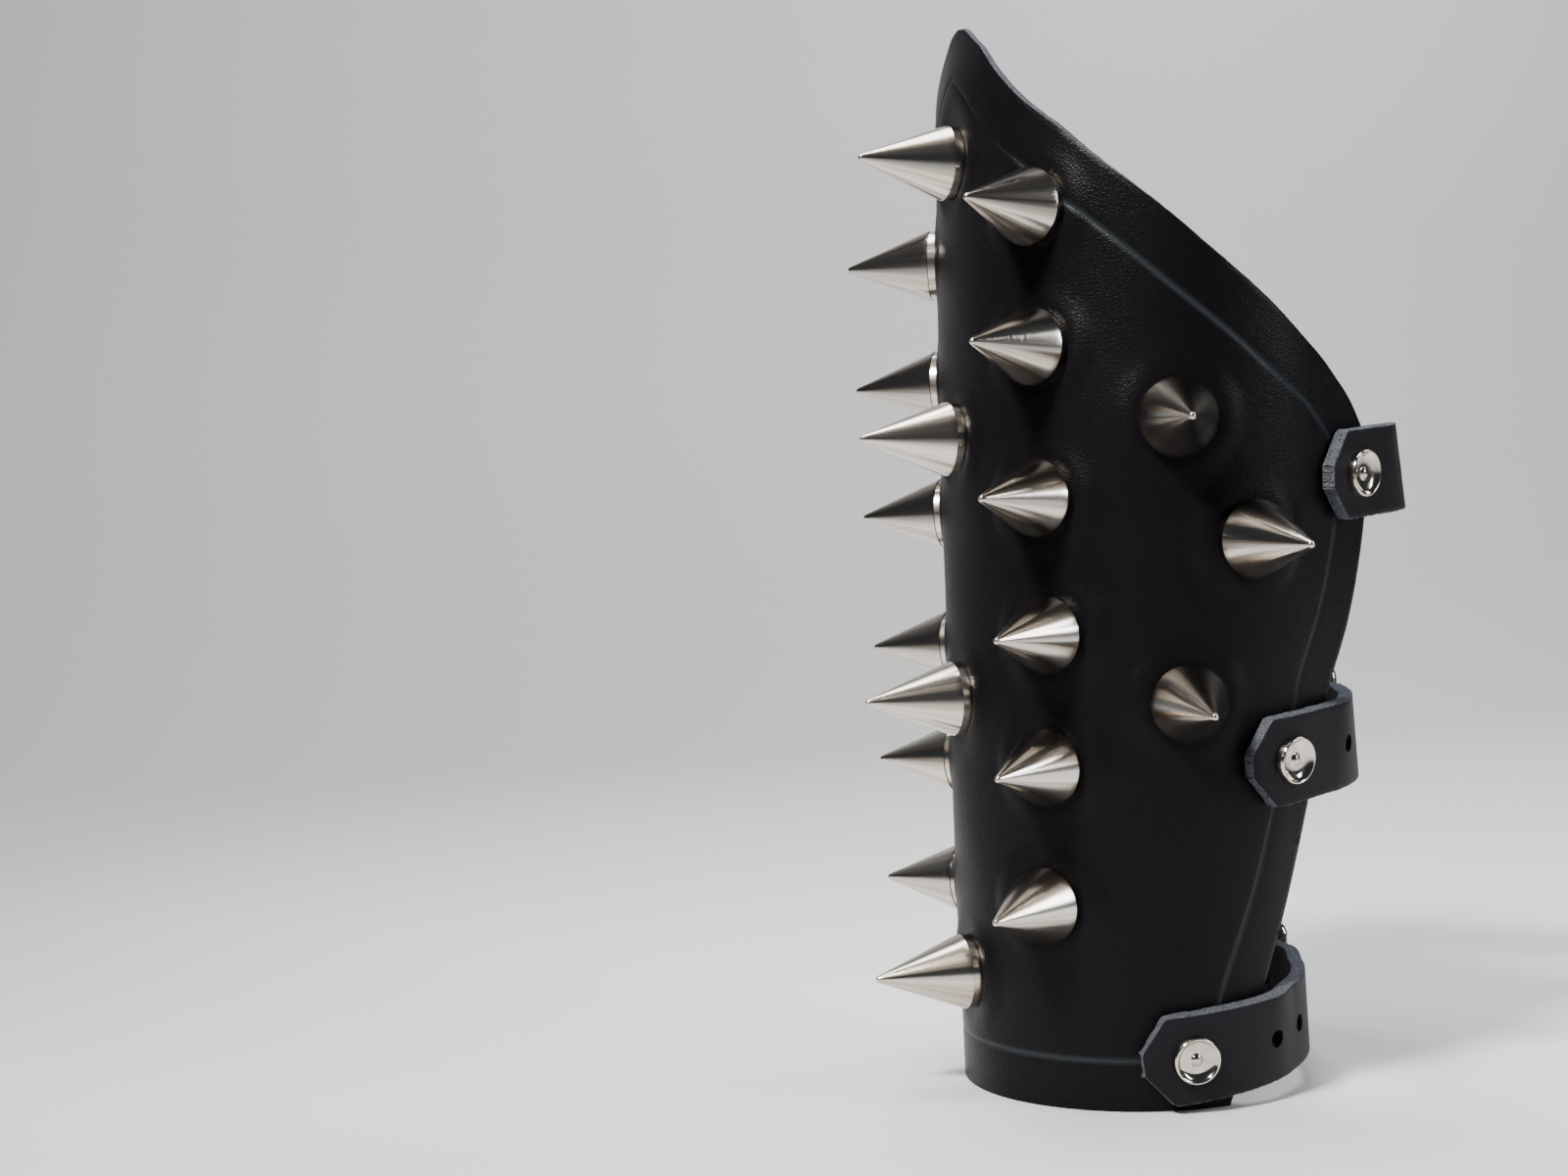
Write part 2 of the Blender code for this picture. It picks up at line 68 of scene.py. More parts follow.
def smoothStep(value):
    value = np.clip(value, 0.0, 1.0)
    return value * value * (3.0 - 2.0 * value)


def gridMesh(name, points, index=None, wrap=False, around=None, marks=None, sharpAngle=40.0):
    # a grid of points [row, column] to quads; equal numbers in index are one point, wrap joins the last
    # column to the first, around is a pair of grids for the UV map, marks are values kept at the points
    rows, columns = points.shape[:2]
    if index is None:
        index = np.arange(rows * columns).reshape(rows, columns)
    r, c = np.meshgrid(np.arange(rows - 1), np.arange(columns if wrap else columns - 1), indexing="ij")
    cornerRow = np.stack((r, r, r + 1, r + 1), -1).reshape(-1, 4)
    cornerColumn = np.stack((c, c + 1, c + 1, c), -1).reshape(-1, 4)
    corners = index[cornerRow, cornerColumn % columns]
    keep = corners != np.roll(corners, 1, axis=1)
    loops = corners[keep]
    used, loops = np.unique(loops, return_inverse=True)
    sizes = keep.sum(1)
    mesh = bpy.data.meshes.new(name)
    mesh.vertices.add(len(used))
    mesh.vertices.foreach_set("co", points.reshape(-1, 3)[used].astype(np.float32).ravel())
    mesh.loops.add(len(loops))
    mesh.loops.foreach_set("vertex_index", loops.astype(np.int32).ravel())
    mesh.polygons.add(len(sizes))
    mesh.polygons.foreach_set("loop_start", np.concatenate(((0,), np.cumsum(sizes)[:-1])).astype(np.int32))
    mesh.polygons.foreach_set("use_smooth", np.ones(len(sizes), bool))
    if around is not None:
        layer = mesh.uv_layers.new(name="around")
        uv = np.stack([grid[cornerRow, cornerColumn][keep] for grid in around], -1)
        layer.data.foreach_set("uv", uv.astype(np.float32).ravel())
    for mark, grid in (marks or {}).items():
        attribute = mesh.attributes.new(mark, "FLOAT", "POINT")
        attribute.data.foreach_set("value", grid.reshape(-1)[used].astype(np.float32))
    mesh.update(calc_edges=True)
    mesh.validate()
    mesh.set_sharp_from_angle(angle=math.radians(sharpAngle))
    return mesh


def addPiece(name, mesh, material, node):
    piece = bpy.data.objects.new(name, mesh)
    bpy.context.scene.collection.objects.link(piece)
    mesh.materials.clear()
    mesh.materials.append(material)
    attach(piece, "root")
    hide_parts(node)
    return piece


def slabMesh(name, middle, thickness, rim, marks=None, fuzz=0.0, floorAt=None):
    # a sheet of leather: half its thickness along the surface's normal to each side of a middle surface,
    # closed along all four sides by a rim whose rows are (reach past the side, share of the thickness)
    reach = np.array([row[0] for row in rim])
    share = np.array([row[1] for row in rim])
    count = len(rim)
    normal = unit(np.cross(np.gradient(middle, axis=1), np.gradient(middle, axis=0)))

    def outward(edge, inside, along):
        way = edge - inside
        way = way - along * np.sum(way * along, -1, keepdims=True)
        return unit(way)

    firstRow = outward(middle[0], middle[1], unit(np.gradient(middle[0], axis=0)))
    lastRow = outward(middle[-1], middle[-2], unit(np.gradient(middle[-1], axis=0)))
    firstColumn = outward(middle[:, 0], middle[:, 1], unit(np.gradient(middle[:, 0], axis=0)))
    lastColumn = outward(middle[:, -1], middle[:, -2], unit(np.gradient(middle[:, -1], axis=0)))
    pad = ((count, count), (count, count), (0, 0))
    wide = np.pad(middle, pad, mode="edge")
    wideNormal = np.pad(normal, pad, mode="edge")
    rows, columns = wide.shape[:2]
    half = np.pad(np.broadcast_to(thickness, middle.shape[:2]) / 2, count, mode="edge")
    full = half.copy()
    rimMark = np.zeros((rows, columns))
    # fuzz shortens the reach by chance, so a cut edge is rough and never past its line
    jitter = 1.0 - np.minimum(fuzz * np.abs(random.standard_normal((rows, columns))), jitterLimit)
    for step in range(count):
        inset = count - 1 - step
        for way, line in ((firstRow, inset), (lastRow, rows - 1 - inset)):
            wayWide = np.pad(way, ((count, count), (0, 0)), mode="edge")
            wide[line] += wayWide * (reach[step] * jitter[line])[:, None]
            half[line] = np.minimum(half[line], share[step] * full[line])
            rimMark[line] = 1.0
        for way, line in ((firstColumn, inset), (lastColumn, columns - 1 - inset)):
            wayWide = np.pad(way, ((count, count), (0, 0)), mode="edge")
            wide[:, line] += wayWide * (reach[step] * jitter[:, line])[:, None]
            half[:, line] = np.minimum(half[:, line], share[step] * full[:, line])
            rimMark[:, line] = 1.0
    outer = wide + wideNormal * half[..., None]
    inner = wide - wideNormal * half[..., None]
    back = np.arange(columns - 2, 0, -1)
    points = np.concatenate((outer, inner[:, back]), axis=1)
    if floorAt is not None:
        points[..., 2] = np.maximum(points[..., 2], floorAt)
    index = np.arange(points.shape[0] * points.shape[1]).reshape(points.shape[:2])
    index[0, columns:] = index[0, back]
    index[-1, columns:] = index[-1, back]
    inside = np.zeros(points.shape[:2])
    inside[:, columns:] = 1.0
    allMarks = {"rim": np.concatenate((rimMark, rimMark[:, back]), axis=1), "inside": inside}
    for mark, grid in (marks or {}).items():
        grid = np.pad(grid, count, mode="edge")
        allMarks[mark] = np.concatenate((grid, grid[:, back]), axis=1)
    return gridMesh(name, points, index, wrap=True, marks=allMarks, sharpAngle=55.0)


def ringMesh(name, points, index, steps, sharpAngle):
    # rings of points [ring, side]; the UV map runs round each ring and, in centimetres, along the steps
    # from ring to ring
    length = np.concatenate(((0.0,), np.cumsum(steps)))
    sides = index.shape[1]
    around = np.meshgrid(np.arange(sides + 1) / sides, length * 100.0)
    return gridMesh(name, points, index, wrap=True, around=around, sharpAngle=sharpAngle)


def turnedMesh(name, profile, sides, place, axis, sharpAngle=15.0):
    # a profile of (radius, height) rows carried once round the axis; a row with no radius is one point
    radius, height = np.array(profile, float).T
    axis = unit(axis)
    side = unit(np.cross(upward if abs(axis[2]) < 0.9 else np.array((1.0, 0.0, 0.0)), axis))
    other = np.cross(axis, side)
    turn = np.linspace(0.0, math.tau, sides, endpoint=False)
    circle = np.cos(turn)[:, None] * side + np.sin(turn)[:, None] * other
    points = place + radius[:, None, None] * circle[None] + height[:, None, None] * axis
    index = np.arange(points.shape[0] * sides).reshape(-1, sides)
    index[radius == 0.0] = index[radius == 0.0][:, :1]
    return ringMesh(name, points, index, np.hypot(np.diff(radius), np.diff(height)), sharpAngle)


def wireMesh(name, path, flat, radius, closed, sides=20):
    # a circle carried along a path that lies in one plane; flat is the plane's normal
    if closed:
        tangent = unit(np.roll(path, -1, axis=0) - np.roll(path, 1, axis=0))
        path = np.concatenate((path, path[:1]))
        tangent = np.concatenate((tangent, tangent[:1]))
        radii = np.full(len(path), radius)
    else:
        tangent = unit(np.gradient(path, axis=0))
        cap = np.radians((90.0, 70.0, 45.0, 20.0))
        head = path[0] - tangent[0] * (radius * np.sin(cap))[:, None]
        tail = path[-1] + tangent[-1] * (radius * np.sin(cap[::-1]))[:, None]
        radii = np.concatenate((radius * np.cos(cap), np.full(len(path), radius), radius * np.cos(cap[::-1])))
        radii[[0, -1]] = 0.0
        path = np.concatenate((head, path, tail))
        tangent = np.concatenate((np.tile(tangent[0], (4, 1)), tangent, np.tile(tangent[-1], (4, 1))))
    side = unit(np.cross(flat, tangent))
    turn = np.linspace(0.0, math.tau, sides, endpoint=False)
    circle = np.cos(turn)[None, :, None] * side[:, None] + np.sin(turn)[None, :, None] * flat
    points = path[:, None] + circle * radii[:, None, None]
    index = np.arange(points.shape[0] * sides).reshape(-1, sides)
    if closed:
        index[-1] = index[0]
    else:
        index[0] = index[0, 0]
        index[-1] = index[-1, 0]
    return ringMesh(name, points, index, np.linalg.norm(np.diff(path, axis=0), axis=1), 60.0)


def cutWith(mesh, cutters):
    # takes the cutters' shapes out of a mesh and gives the result back
    body = bpy.data.objects.new("body", mesh)
    bpy.context.scene.collection.objects.link(body)
    tools = []
    for cutter in cutters:
        tool = bpy.data.objects.new("cutter", cutter)
        bpy.context.scene.collection.objects.link(tool)
        tools.append(tool)
        modifier = body.modifiers.new("cut", "BOOLEAN")
        modifier.operation = "DIFFERENCE"
        modifier.solver = "EXACT"
        modifier.object = tool
    result = bpy.data.meshes.new_from_object(body.evaluated_get(bpy.context.evaluated_depsgraph_get()))
    for thing in (body, *tools):
        bpy.data.objects.remove(thing, do_unlink=True)
    result.set_sharp_from_angle(angle=math.radians(50.0))
    return result


# materials

def nodeKit(material):
    material.use_nodes = True
    tree = material.node_tree
    tree.nodes.clear()

    def add(kind, **values):
        node = tree.nodes.new(kind)
        for key, value in values.items():
            if hasattr(node, key):
                setattr(node, key, value)
            else:
                node.inputs[key.replace("_", " ")].default_value = value
        return node

    return tree, add


leather = {
    "grainCell": 0.00075, "grainDepth": 0.00009, "grainStrength": 0.40, "fibreDepth": 0.0010,
    "faceColor": (0.0026, 0.0023, 0.0030, 1.0), "faceRough": (0.33, 0.45),
    "grooveColor": (0.130, 0.180, 0.195, 1.0),
    "rawColor": (0.014, 0.016, 0.020, 1.0), "rawLight": (0.150, 0.165, 0.190, 1.0),
    "fleshColor": (0.030, 0.028, 0.028, 1.0), "fleshLight": (0.060, 0.056, 0.054, 1.0),
    "warpScale": 900.0, "warpReach": 0.00045, "creaseWidth": 0.32, "fineScale": 5200.0, "fineShare": 0.25,
    "patchScale": 55.0, "patchGain": 1.35, "fibreScale": 2300.0, "fibreRange": (0.35, 0.75),
    "grooveRough": 0.62, "rawRough": 0.92, "ior": 1.19,
}
strapLeather = dict(leather, grainCell=0.00055, grainStrength=0.25, faceColor=(0.0075, 0.0068, 0.0090, 1.0),
                    faceRough=(0.42, 0.56))


def leatherMaterial(name, values):
    # black grain face; the marks rim, inside and groove blend in the raw cut edge, the flesh side and the
    # scored line; the grain is cells with worn tops over a fine noise
    material = bpy.data.materials.new(name)
    tree, add = nodeKit(material)
    link = tree.links.new
    place = add("ShaderNodeTexCoord").outputs["Object"]
    warp = add("ShaderNodeTexNoise", Scale=values["warpScale"], Detail=2.0)
    link(place, warp.inputs["Vector"])
    bend = add("ShaderNodeVectorMath", operation="SCALE", Scale=values["warpReach"])
    link(warp.outputs["Color"], bend.inputs[0])
    bent = add("ShaderNodeVectorMath", operation="ADD")
    link(place, bent.inputs[0])
    link(bend.outputs[0], bent.inputs[1])
    cells = add("ShaderNodeTexVoronoi", feature="DISTANCE_TO_EDGE", Scale=1.0 / values["grainCell"])
    link(bent.outputs[0], cells.inputs["Vector"])
    crease = add("ShaderNodeMapRange", interpolation_type="SMOOTHSTEP", From_Min=0.0,
                 From_Max=values["creaseWidth"])
    link(cells.outputs["Distance"], crease.inputs["Value"])
    fine = add("ShaderNodeTexNoise", Scale=values["fineScale"], Detail=3.0)
    link(place, fine.inputs["Vector"])
    patch = add("ShaderNodeTexNoise", Scale=values["patchScale"], Detail=3.0, Roughness=0.55)
    link(place, patch.inputs["Vector"])
    height = add("ShaderNodeMath", operation="MULTIPLY_ADD")
    height.inputs[1].default_value = values["fineShare"]
    link(fine.outputs["Fac"], height.inputs[0])
    link(crease.outputs["Result"], height.inputs[2])
    fibre = add("ShaderNodeTexNoise", Scale=values["fibreScale"], Detail=5.0, Roughness=0.7)
    link(place, fibre.inputs["Vector"])

    rim = add("ShaderNodeAttribute", attribute_name="rim").outputs["Fac"]
    inside = add("ShaderNodeAttribute", attribute_name="inside").outputs["Fac"]
    groove = add("ShaderNodeAttribute", attribute_name="groove").outputs["Fac"]
    raw = add("ShaderNodeMath", operation="MAXIMUM")
    link(rim, raw.inputs[0])
    link(inside, raw.inputs[1])
    low, high = values["fibreRange"]
    fuzzy = add("ShaderNodeMapRange", From_Min=low, From_Max=high)
    link(fibre.outputs["Fac"], fuzzy.inputs["Value"])

    def mixColor(factor, first, second):
        node = add("ShaderNodeMix", data_type="RGBA")
        link(factor, node.inputs[0])
        for socket, value in ((node.inputs[6], first), (node.inputs[7], second)):
            if isinstance(value, tuple):
                socket.default_value = value
            else:
                link(value, socket)
        return node.outputs[2]

    def mixValue(factor, first, second):
        node = add("ShaderNodeMix", data_type="FLOAT")
        link(factor, node.inputs[0])
        for socket, value in ((node.inputs[2], first), (node.inputs[3], second)):
            if isinstance(value, float):
                socket.default_value = value
            else:
                link(value, socket)
        return node.outputs[0]

    lighter = tuple(values["patchGain"] * part for part in values["faceColor"][:3]) + (1.0,)
    face = mixColor(patch.outputs["Fac"], values["faceColor"], lighter)
    face = mixColor(groove, face, values["grooveColor"])
    flesh = mixColor(fuzzy.outputs["Result"], values["fleshColor"], values["fleshLight"])
    edge = mixColor(fuzzy.outputs["Result"], values["rawColor"], values["rawLight"])
    color = mixColor(rim, mixColor(inside, face, flesh), edge)
    faceRough = mixValue(patch.outputs["Fac"], *values["faceRough"])
    faceRough = mixValue(groove, faceRough, values["grooveRough"])
    roughness = mixValue(raw.outputs[0], faceRough, values["rawRough"])
    relief = mixValue(raw.outputs[0], height.outputs[0], fibre.outputs["Fac"])
    bump = add("ShaderNodeBump", Strength=values["grainStrength"])
    link(mixValue(raw.outputs[0], values["grainDepth"], values["fibreDepth"]), bump.inputs["Distance"])
    link(relief, bump.inputs["Height"])
    shader = add("ShaderNodeBsdfPrincipled", IOR=values["ior"])
    link(color, shader.inputs["Base Color"])
    link(roughness, shader.inputs["Roughness"])
    link(bump.outputs["Normal"], shader.inputs["Normal"])
    output = add("ShaderNodeOutputMaterial")
    link(shader.outputs[0], output.inputs["Surface"])
    return material


# the bronze colour is partly tool marks and partly a painted reflection of warm surroundings
nickel = {
    "color": (0.66, 0.625, 0.57, 1.0), "reflectedBronze": (0.44, 0.365, 0.285, 1.0), "rough": (0.10, 0.24),
    "ringScale": 260.0, "ringStrength": 0.10, "ringDepth": 0.00003, "streaks": 7.0, "anisotropic": 0.65,
    # the streaks' stretch round and along the piece, the noise values they lie between, and how they
    # differ from place to place
    "streakStretch": (4.0, 0.25), "streakRange": (0.38, 0.66), "roughRange": (0.3, 0.7), "streakShift": 26.0,
}
plainNickel = dict(nickel, reflectedBronze=(0.52, 0.46, 0.39, 1.0), rough=(0.09, 0.18), ringScale=60.0,
                   ringStrength=0.03, streaks=2.0, anisotropic=0.2)


def nickelMaterial(name, values):
    # turned and plated metal: fine rings across the wire or cone, faint streaks along it, their warm bronze
    # tint partly tool marks and partly painted reflection of warm surroundings
    material = bpy.data.materials.new(name)
    tree, add = nodeKit(material)
    link = tree.links.new
    around = add("ShaderNodeUVMap", uv_map="around")
    parts = add("ShaderNodeSeparateXYZ")
    link(around.outputs[0], parts.inputs[0])
    place = add("ShaderNodeTexCoord").outputs["Object"]
    rings = add("ShaderNodeTexNoise", noise_dimensions="1D", Scale=values["ringScale"], Detail=2.0)
    link(parts.outputs[1], rings.inputs["W"])
    turn = add("ShaderNodeVectorMath", operation="MULTIPLY")
    roundBy, alongBy = values["streakStretch"]
    turn.inputs[1].default_value = (values["streaks"] * roundBy, alongBy, 0.0)
    link(around.outputs[0], turn.inputs[0])
    shift = add("ShaderNodeVectorMath", operation="SCALE", Scale=values["streakShift"])
    link(place, shift.inputs[0])
    moved = add("ShaderNodeVectorMath", operation="ADD")
    link(turn.outputs[0], moved.inputs[0])
    link(shift.outputs[0], moved.inputs[1])
    streak = add("ShaderNodeTexNoise", Scale=1.0, Detail=3.0, Roughness=0.6)
    link(moved.outputs[0], streak.inputs["Vector"])
    low, high = values["streakRange"]
    contrast = add("ShaderNodeMapRange", From_Min=low, From_Max=high)
    link(streak.outputs["Fac"], contrast.inputs["Value"])
    # painted reflection: the streaks blend the metal toward a warm bronze that stands partly for reflected
    # warm surroundings, partly for tool marks
    tint = add("ShaderNodeMix", data_type="RGBA")
    link(contrast.outputs["Result"], tint.inputs[0])
    tint.inputs[6].default_value = values["color"]
    tint.inputs[7].default_value = values["reflectedBronze"]
    low, high = values["roughRange"]
    rough = add("ShaderNodeMapRange", From_Min=low, From_Max=high)
    rough.inputs["To Min"].default_value, rough.inputs["To Max"].default_value = values["rough"]
    link(streak.outputs["Fac"], rough.inputs["Value"])
    bump = add("ShaderNodeBump", Strength=values["ringStrength"], Distance=values["ringDepth"])
    link(rings.outputs["Fac"], bump.inputs["Height"])
    tangent = add("ShaderNodeTangent", direction_type="UV_MAP", uv_map="around")
    shader = add("ShaderNodeBsdfPrincipled", Metallic=1.0, Anisotropic=values["anisotropic"])
    link(tint.outputs[2], shader.inputs["Base Color"])
    link(rough.outputs["Result"], shader.inputs["Roughness"])
    link(bump.outputs["Normal"], shader.inputs["Normal"])
    link(tangent.outputs[0], shader.inputs["Tangent"])
    output = add("ShaderNodeOutputMaterial")
    link(shader.outputs[0], output.inputs["Surface"])
    return material


panelSkin = leatherMaterial("blackGrainLeather", leather)
strapSkin = leatherMaterial("blackStrapLeather", strapLeather)
spikeMetal = nickelMaterial("turnedNickel", nickel)
plainMetal = nickelMaterial("platedNickel", plainNickel)
print("materials made")

# leather panel

panel = {
    "height": 0.229, "wall": 0.003,
    # at the wrist, half way up and at the top
    "halfWidth": (0.0354, 0.0455, 0.0537), "halfDepth": (0.0361, 0.0430, 0.0416),
    "middleShift": (0.0, 0.0054, 0.0061),
    "flapStart": 115.0, "cornerHeight": 0.1395, "cornerAngle": 139.5,
    "tipLean": 0.0012, "tipLeanStart": 0.83,
    # share of the rise from corner to peak over the share of the corner angle
    "topEdge": ((0.00, 1.000), (0.03, 0.990), (0.06, 0.962), (0.10, 0.922), (0.14, 0.866), (0.18, 0.812),
                (0.22, 0.764), (0.29, 0.694), (0.36, 0.618), (0.48, 0.500), (0.59, 0.388), (0.70, 0.288),
                (0.79, 0.208), (0.86, 0.155), (0.90, 0.119), (0.95, 0.070), (1.00, 0.000)),
    # share of the corner angle over the share of the corner height
    "backEdge": ((0.00, 0.730), (0.05, 0.752), (0.17, 0.796), (0.30, 0.850), (0.44, 0.889), (0.60, 0.929),
                 (0.70, 0.979), (0.80, 1.010), (0.90, 1.026), (0.96, 1.019), (1.00, 1.000)),
    "lineInset": 0.0106, "lineHalfWidth": 0.00032, "lineDepth": 0.00040, "paleBelow": (0.188, 0.199),
    # grid lines across the scored line, in half widths from its middle
    "lineMarks": (3.2, 1.5, 0.8, 0.0, -0.8, -1.5, -3.2),
    # the wall thins to tipWall over tipFade below the pointed top, and the front bulges a little there
    "tipWall": 0.0013, "tipFade": 0.0070, "tipAngle": 75.0,
    "tipBulge": 0.0011, "bulgeHeights": (0.185, 0.214, 0.2275), "bulgeAngle": 40.0,
    "rim": ((0.00010, 0.97), (0.00020, 0.88), (0.00028, 0.60), (0.00032, 0.0)), "fuzz": 0.60,
    # shares of the panel's width and height that its grid covers, so that the rim ends at the real edge
    "rimRoom": (0.9962, 0.9984),
    # a faint waviness of the whole sheet: its height, and rates per metre up and across
    "ripple": 0.00012, "rippleRise": 95.0, "rippleBend": (1.9, 70.0), "rippleAcross": (130.0, 60.0),
    # grid steps from the front to the line and on to the back, and from the wrist up
    "columns": (88, 8), "rows": (7, 116, 8),
}
# angle in degrees round from the front centre line and share of the panel's height
spikeColumns = {
    "center": ((0.0, 0.109), (0.0, 0.367), (0.0, 0.612), (0.0, 0.872)),
    "right_inner": ((38.8, 0.185), (39.6, 0.310), (39.6, 0.429), (36.7, 0.551), (35.1, 0.686),
                    (34.0, 0.810)),
    "left_inner": ((-43.4, 0.179), (-41.9, 0.300), (-41.1, 0.414), (-37.7, 0.546), (-35.4, 0.674),
                   (-30.5, 0.793)),
    "right_outer": ((78.6, 0.367), (95.1, 0.510), (73.5, 0.617)),
    "left_outer": ((-78.6, 0.367), (-95.1, 0.510), (-73.5, 0.617)),
}
spike = {
    "length": 0.0213, "baseRadius": 0.0080, "band": 0.0020, "ledge": 0.00022, "tipRadius": 0.00075,
    "postRadius": 0.0020, "headRadius": 0.0045, "headThickness": 0.0010, "sides": 72,
    # round edges: the band's foot, the band's end below the cone, and rows of (inward, up or down)
    "chamfer": 0.0002, "bandTop": 0.00024, "coneEdge": ((0.00006, 0.00018), (0.0, 0.00010)),
    "headEdge": ((0.0007, 0.0), (0.0002, 0.0002), (0.0, 0.0006)),
    # the leather round a spike: how far it counts as near, and the flat, the dent and the lip
    "seatHeight": 0.006, "seatReach": 0.018, "seatFlat": 0.0078, "seatFade": 0.0062,
    "pressFlat": 0.0068, "pressFade": 0.0022, "seatPress": 0.00022,
    "lipHeight": 0.00008, "lipRadius": 0.0098, "lipWidth": 0.0016,
}
gap = 0.0003


def throughThree(values, share):
    low, middle, high = values
    return low + (4 * middle - 3 * low - high) * share + (2 * low + 2 * high - 4 * middle) * share ** 2


def outerPoint(angle, z):
    # an oval whose sizes grow along parabolas with the height, its back flaps running on straight
    share = z / panel["height"]
    halfWidth = throughThree(panel["halfWidth"], share)
    halfDepth = throughThree(panel["halfDepth"], share)
    centre = panel["halfDepth"][0] - panel["wall"] / 2 + throughThree(panel["middleShift"], share)
    turn = np.radians(np.abs(angle))
    start = math.radians(panel["flapStart"])
    bend = np.minimum(turn, start)
    flap = np.maximum(turn - start, 0.0)
    x = halfWidth * (np.sin(bend) + math.cos(start) * flap)
    y = centre - halfDepth * (np.cos(bend) - math.sin(start) * flap)
    lean = np.maximum(share - panel["tipLeanStart"], 0.0) / (1.0 - panel["tipLeanStart"])
    return np.stack((np.sign(angle) * x, y + panel["tipLean"] * lean ** 2, z + 0.0 * x), -1)


def outerNormal(angle, z):
    # from steps of 0.02 degrees round and 0.2 mm up
    around = outerPoint(angle + 0.01, z) - outerPoint(angle - 0.01, z)
    rise = outerPoint(angle, z + 0.0001) - outerPoint(angle, z - 0.0001)
    return unit(np.cross(around, rise))


def backAngle(z):
    return panel["cornerAngle"] * smoothTable(panel["backEdge"], z / panel["cornerHeight"])


def topHeight(angle):
    share = smoothTable(panel["topEdge"], np.abs(angle) / panel["cornerAngle"])
    return panel["cornerHeight"] + (panel["height"] - panel["cornerHeight"]) * share


def panelPoint(u, v):
    # u runs from back edge (-1) over the front (0) to back edge (1), v from the wrist (0) to the top (1)
    return outerPoint(u * backAngle(v * panel["cornerHeight"]), v * topHeight(u * panel["cornerAngle"]))


def edgeDistances(u, v):
    # shortest way from points of the panel to its back, wrist and top edges
    points = panelPoint(u, v).reshape(-1, 1, 3)
    fine = np.linspace(0.0, 1.0, 241)
    both = np.linspace(-1.0, 1.0, 481)
    back = panelPoint(1.0 + 0.0 * fine, fine)
    wrist = panelPoint(both, 0.0 * both)
    top = panelPoint(both, 1.0 + 0.0 * both)
    edges = (back, wrist, top)
    return [np.linalg.norm(points - edge[None], axis=-1).min(1).reshape(u.shape) for edge in edges]


def lineKeys():
    # where the marks across the scored line lie: u of each for many v, and v of each for many u
    share = np.linspace(0.0, 1.0, 81)
    fine = np.linspace(0.0, 1.0, 161)
    u, v = np.meshgrid(fine, share, indexing="xy")
    back = edgeDistances(u, v)[0]
    marks = panel["lineInset"] + panel["lineHalfWidth"] * np.array(panel["lineMarks"])
    acrossU = np.array([[np.interp(-mark, -row, fine) for mark in marks] for row in back])
    u, v = np.meshgrid(share, fine, indexing="ij")
    low, top = edgeDistances(u, v)[1:]
    lowV = np.array([[np.interp(mark, row, fine) for mark in marks[::-1]] for row in low])
    fall = np.maximum.accumulate(top[:, ::-1], axis=1)[:, ::-1]
    topV = np.array([[np.interp(-mark, -row, fine) for mark in marks] for row in fall])
    return share, acrossU, lowV, topV


def spread(keys, counts):
    # values between keys [..., key], as many steps from each key to the next as counts says
    parts = [keys[..., :1]]
    for number, count in enumerate(counts):
        share = np.arange(1, count + 1) / count
        parts.append(keys[..., number:number + 1] * (1 - share) + keys[..., number + 1:number + 2] * share)
    return np.concatenate(parts, -1)


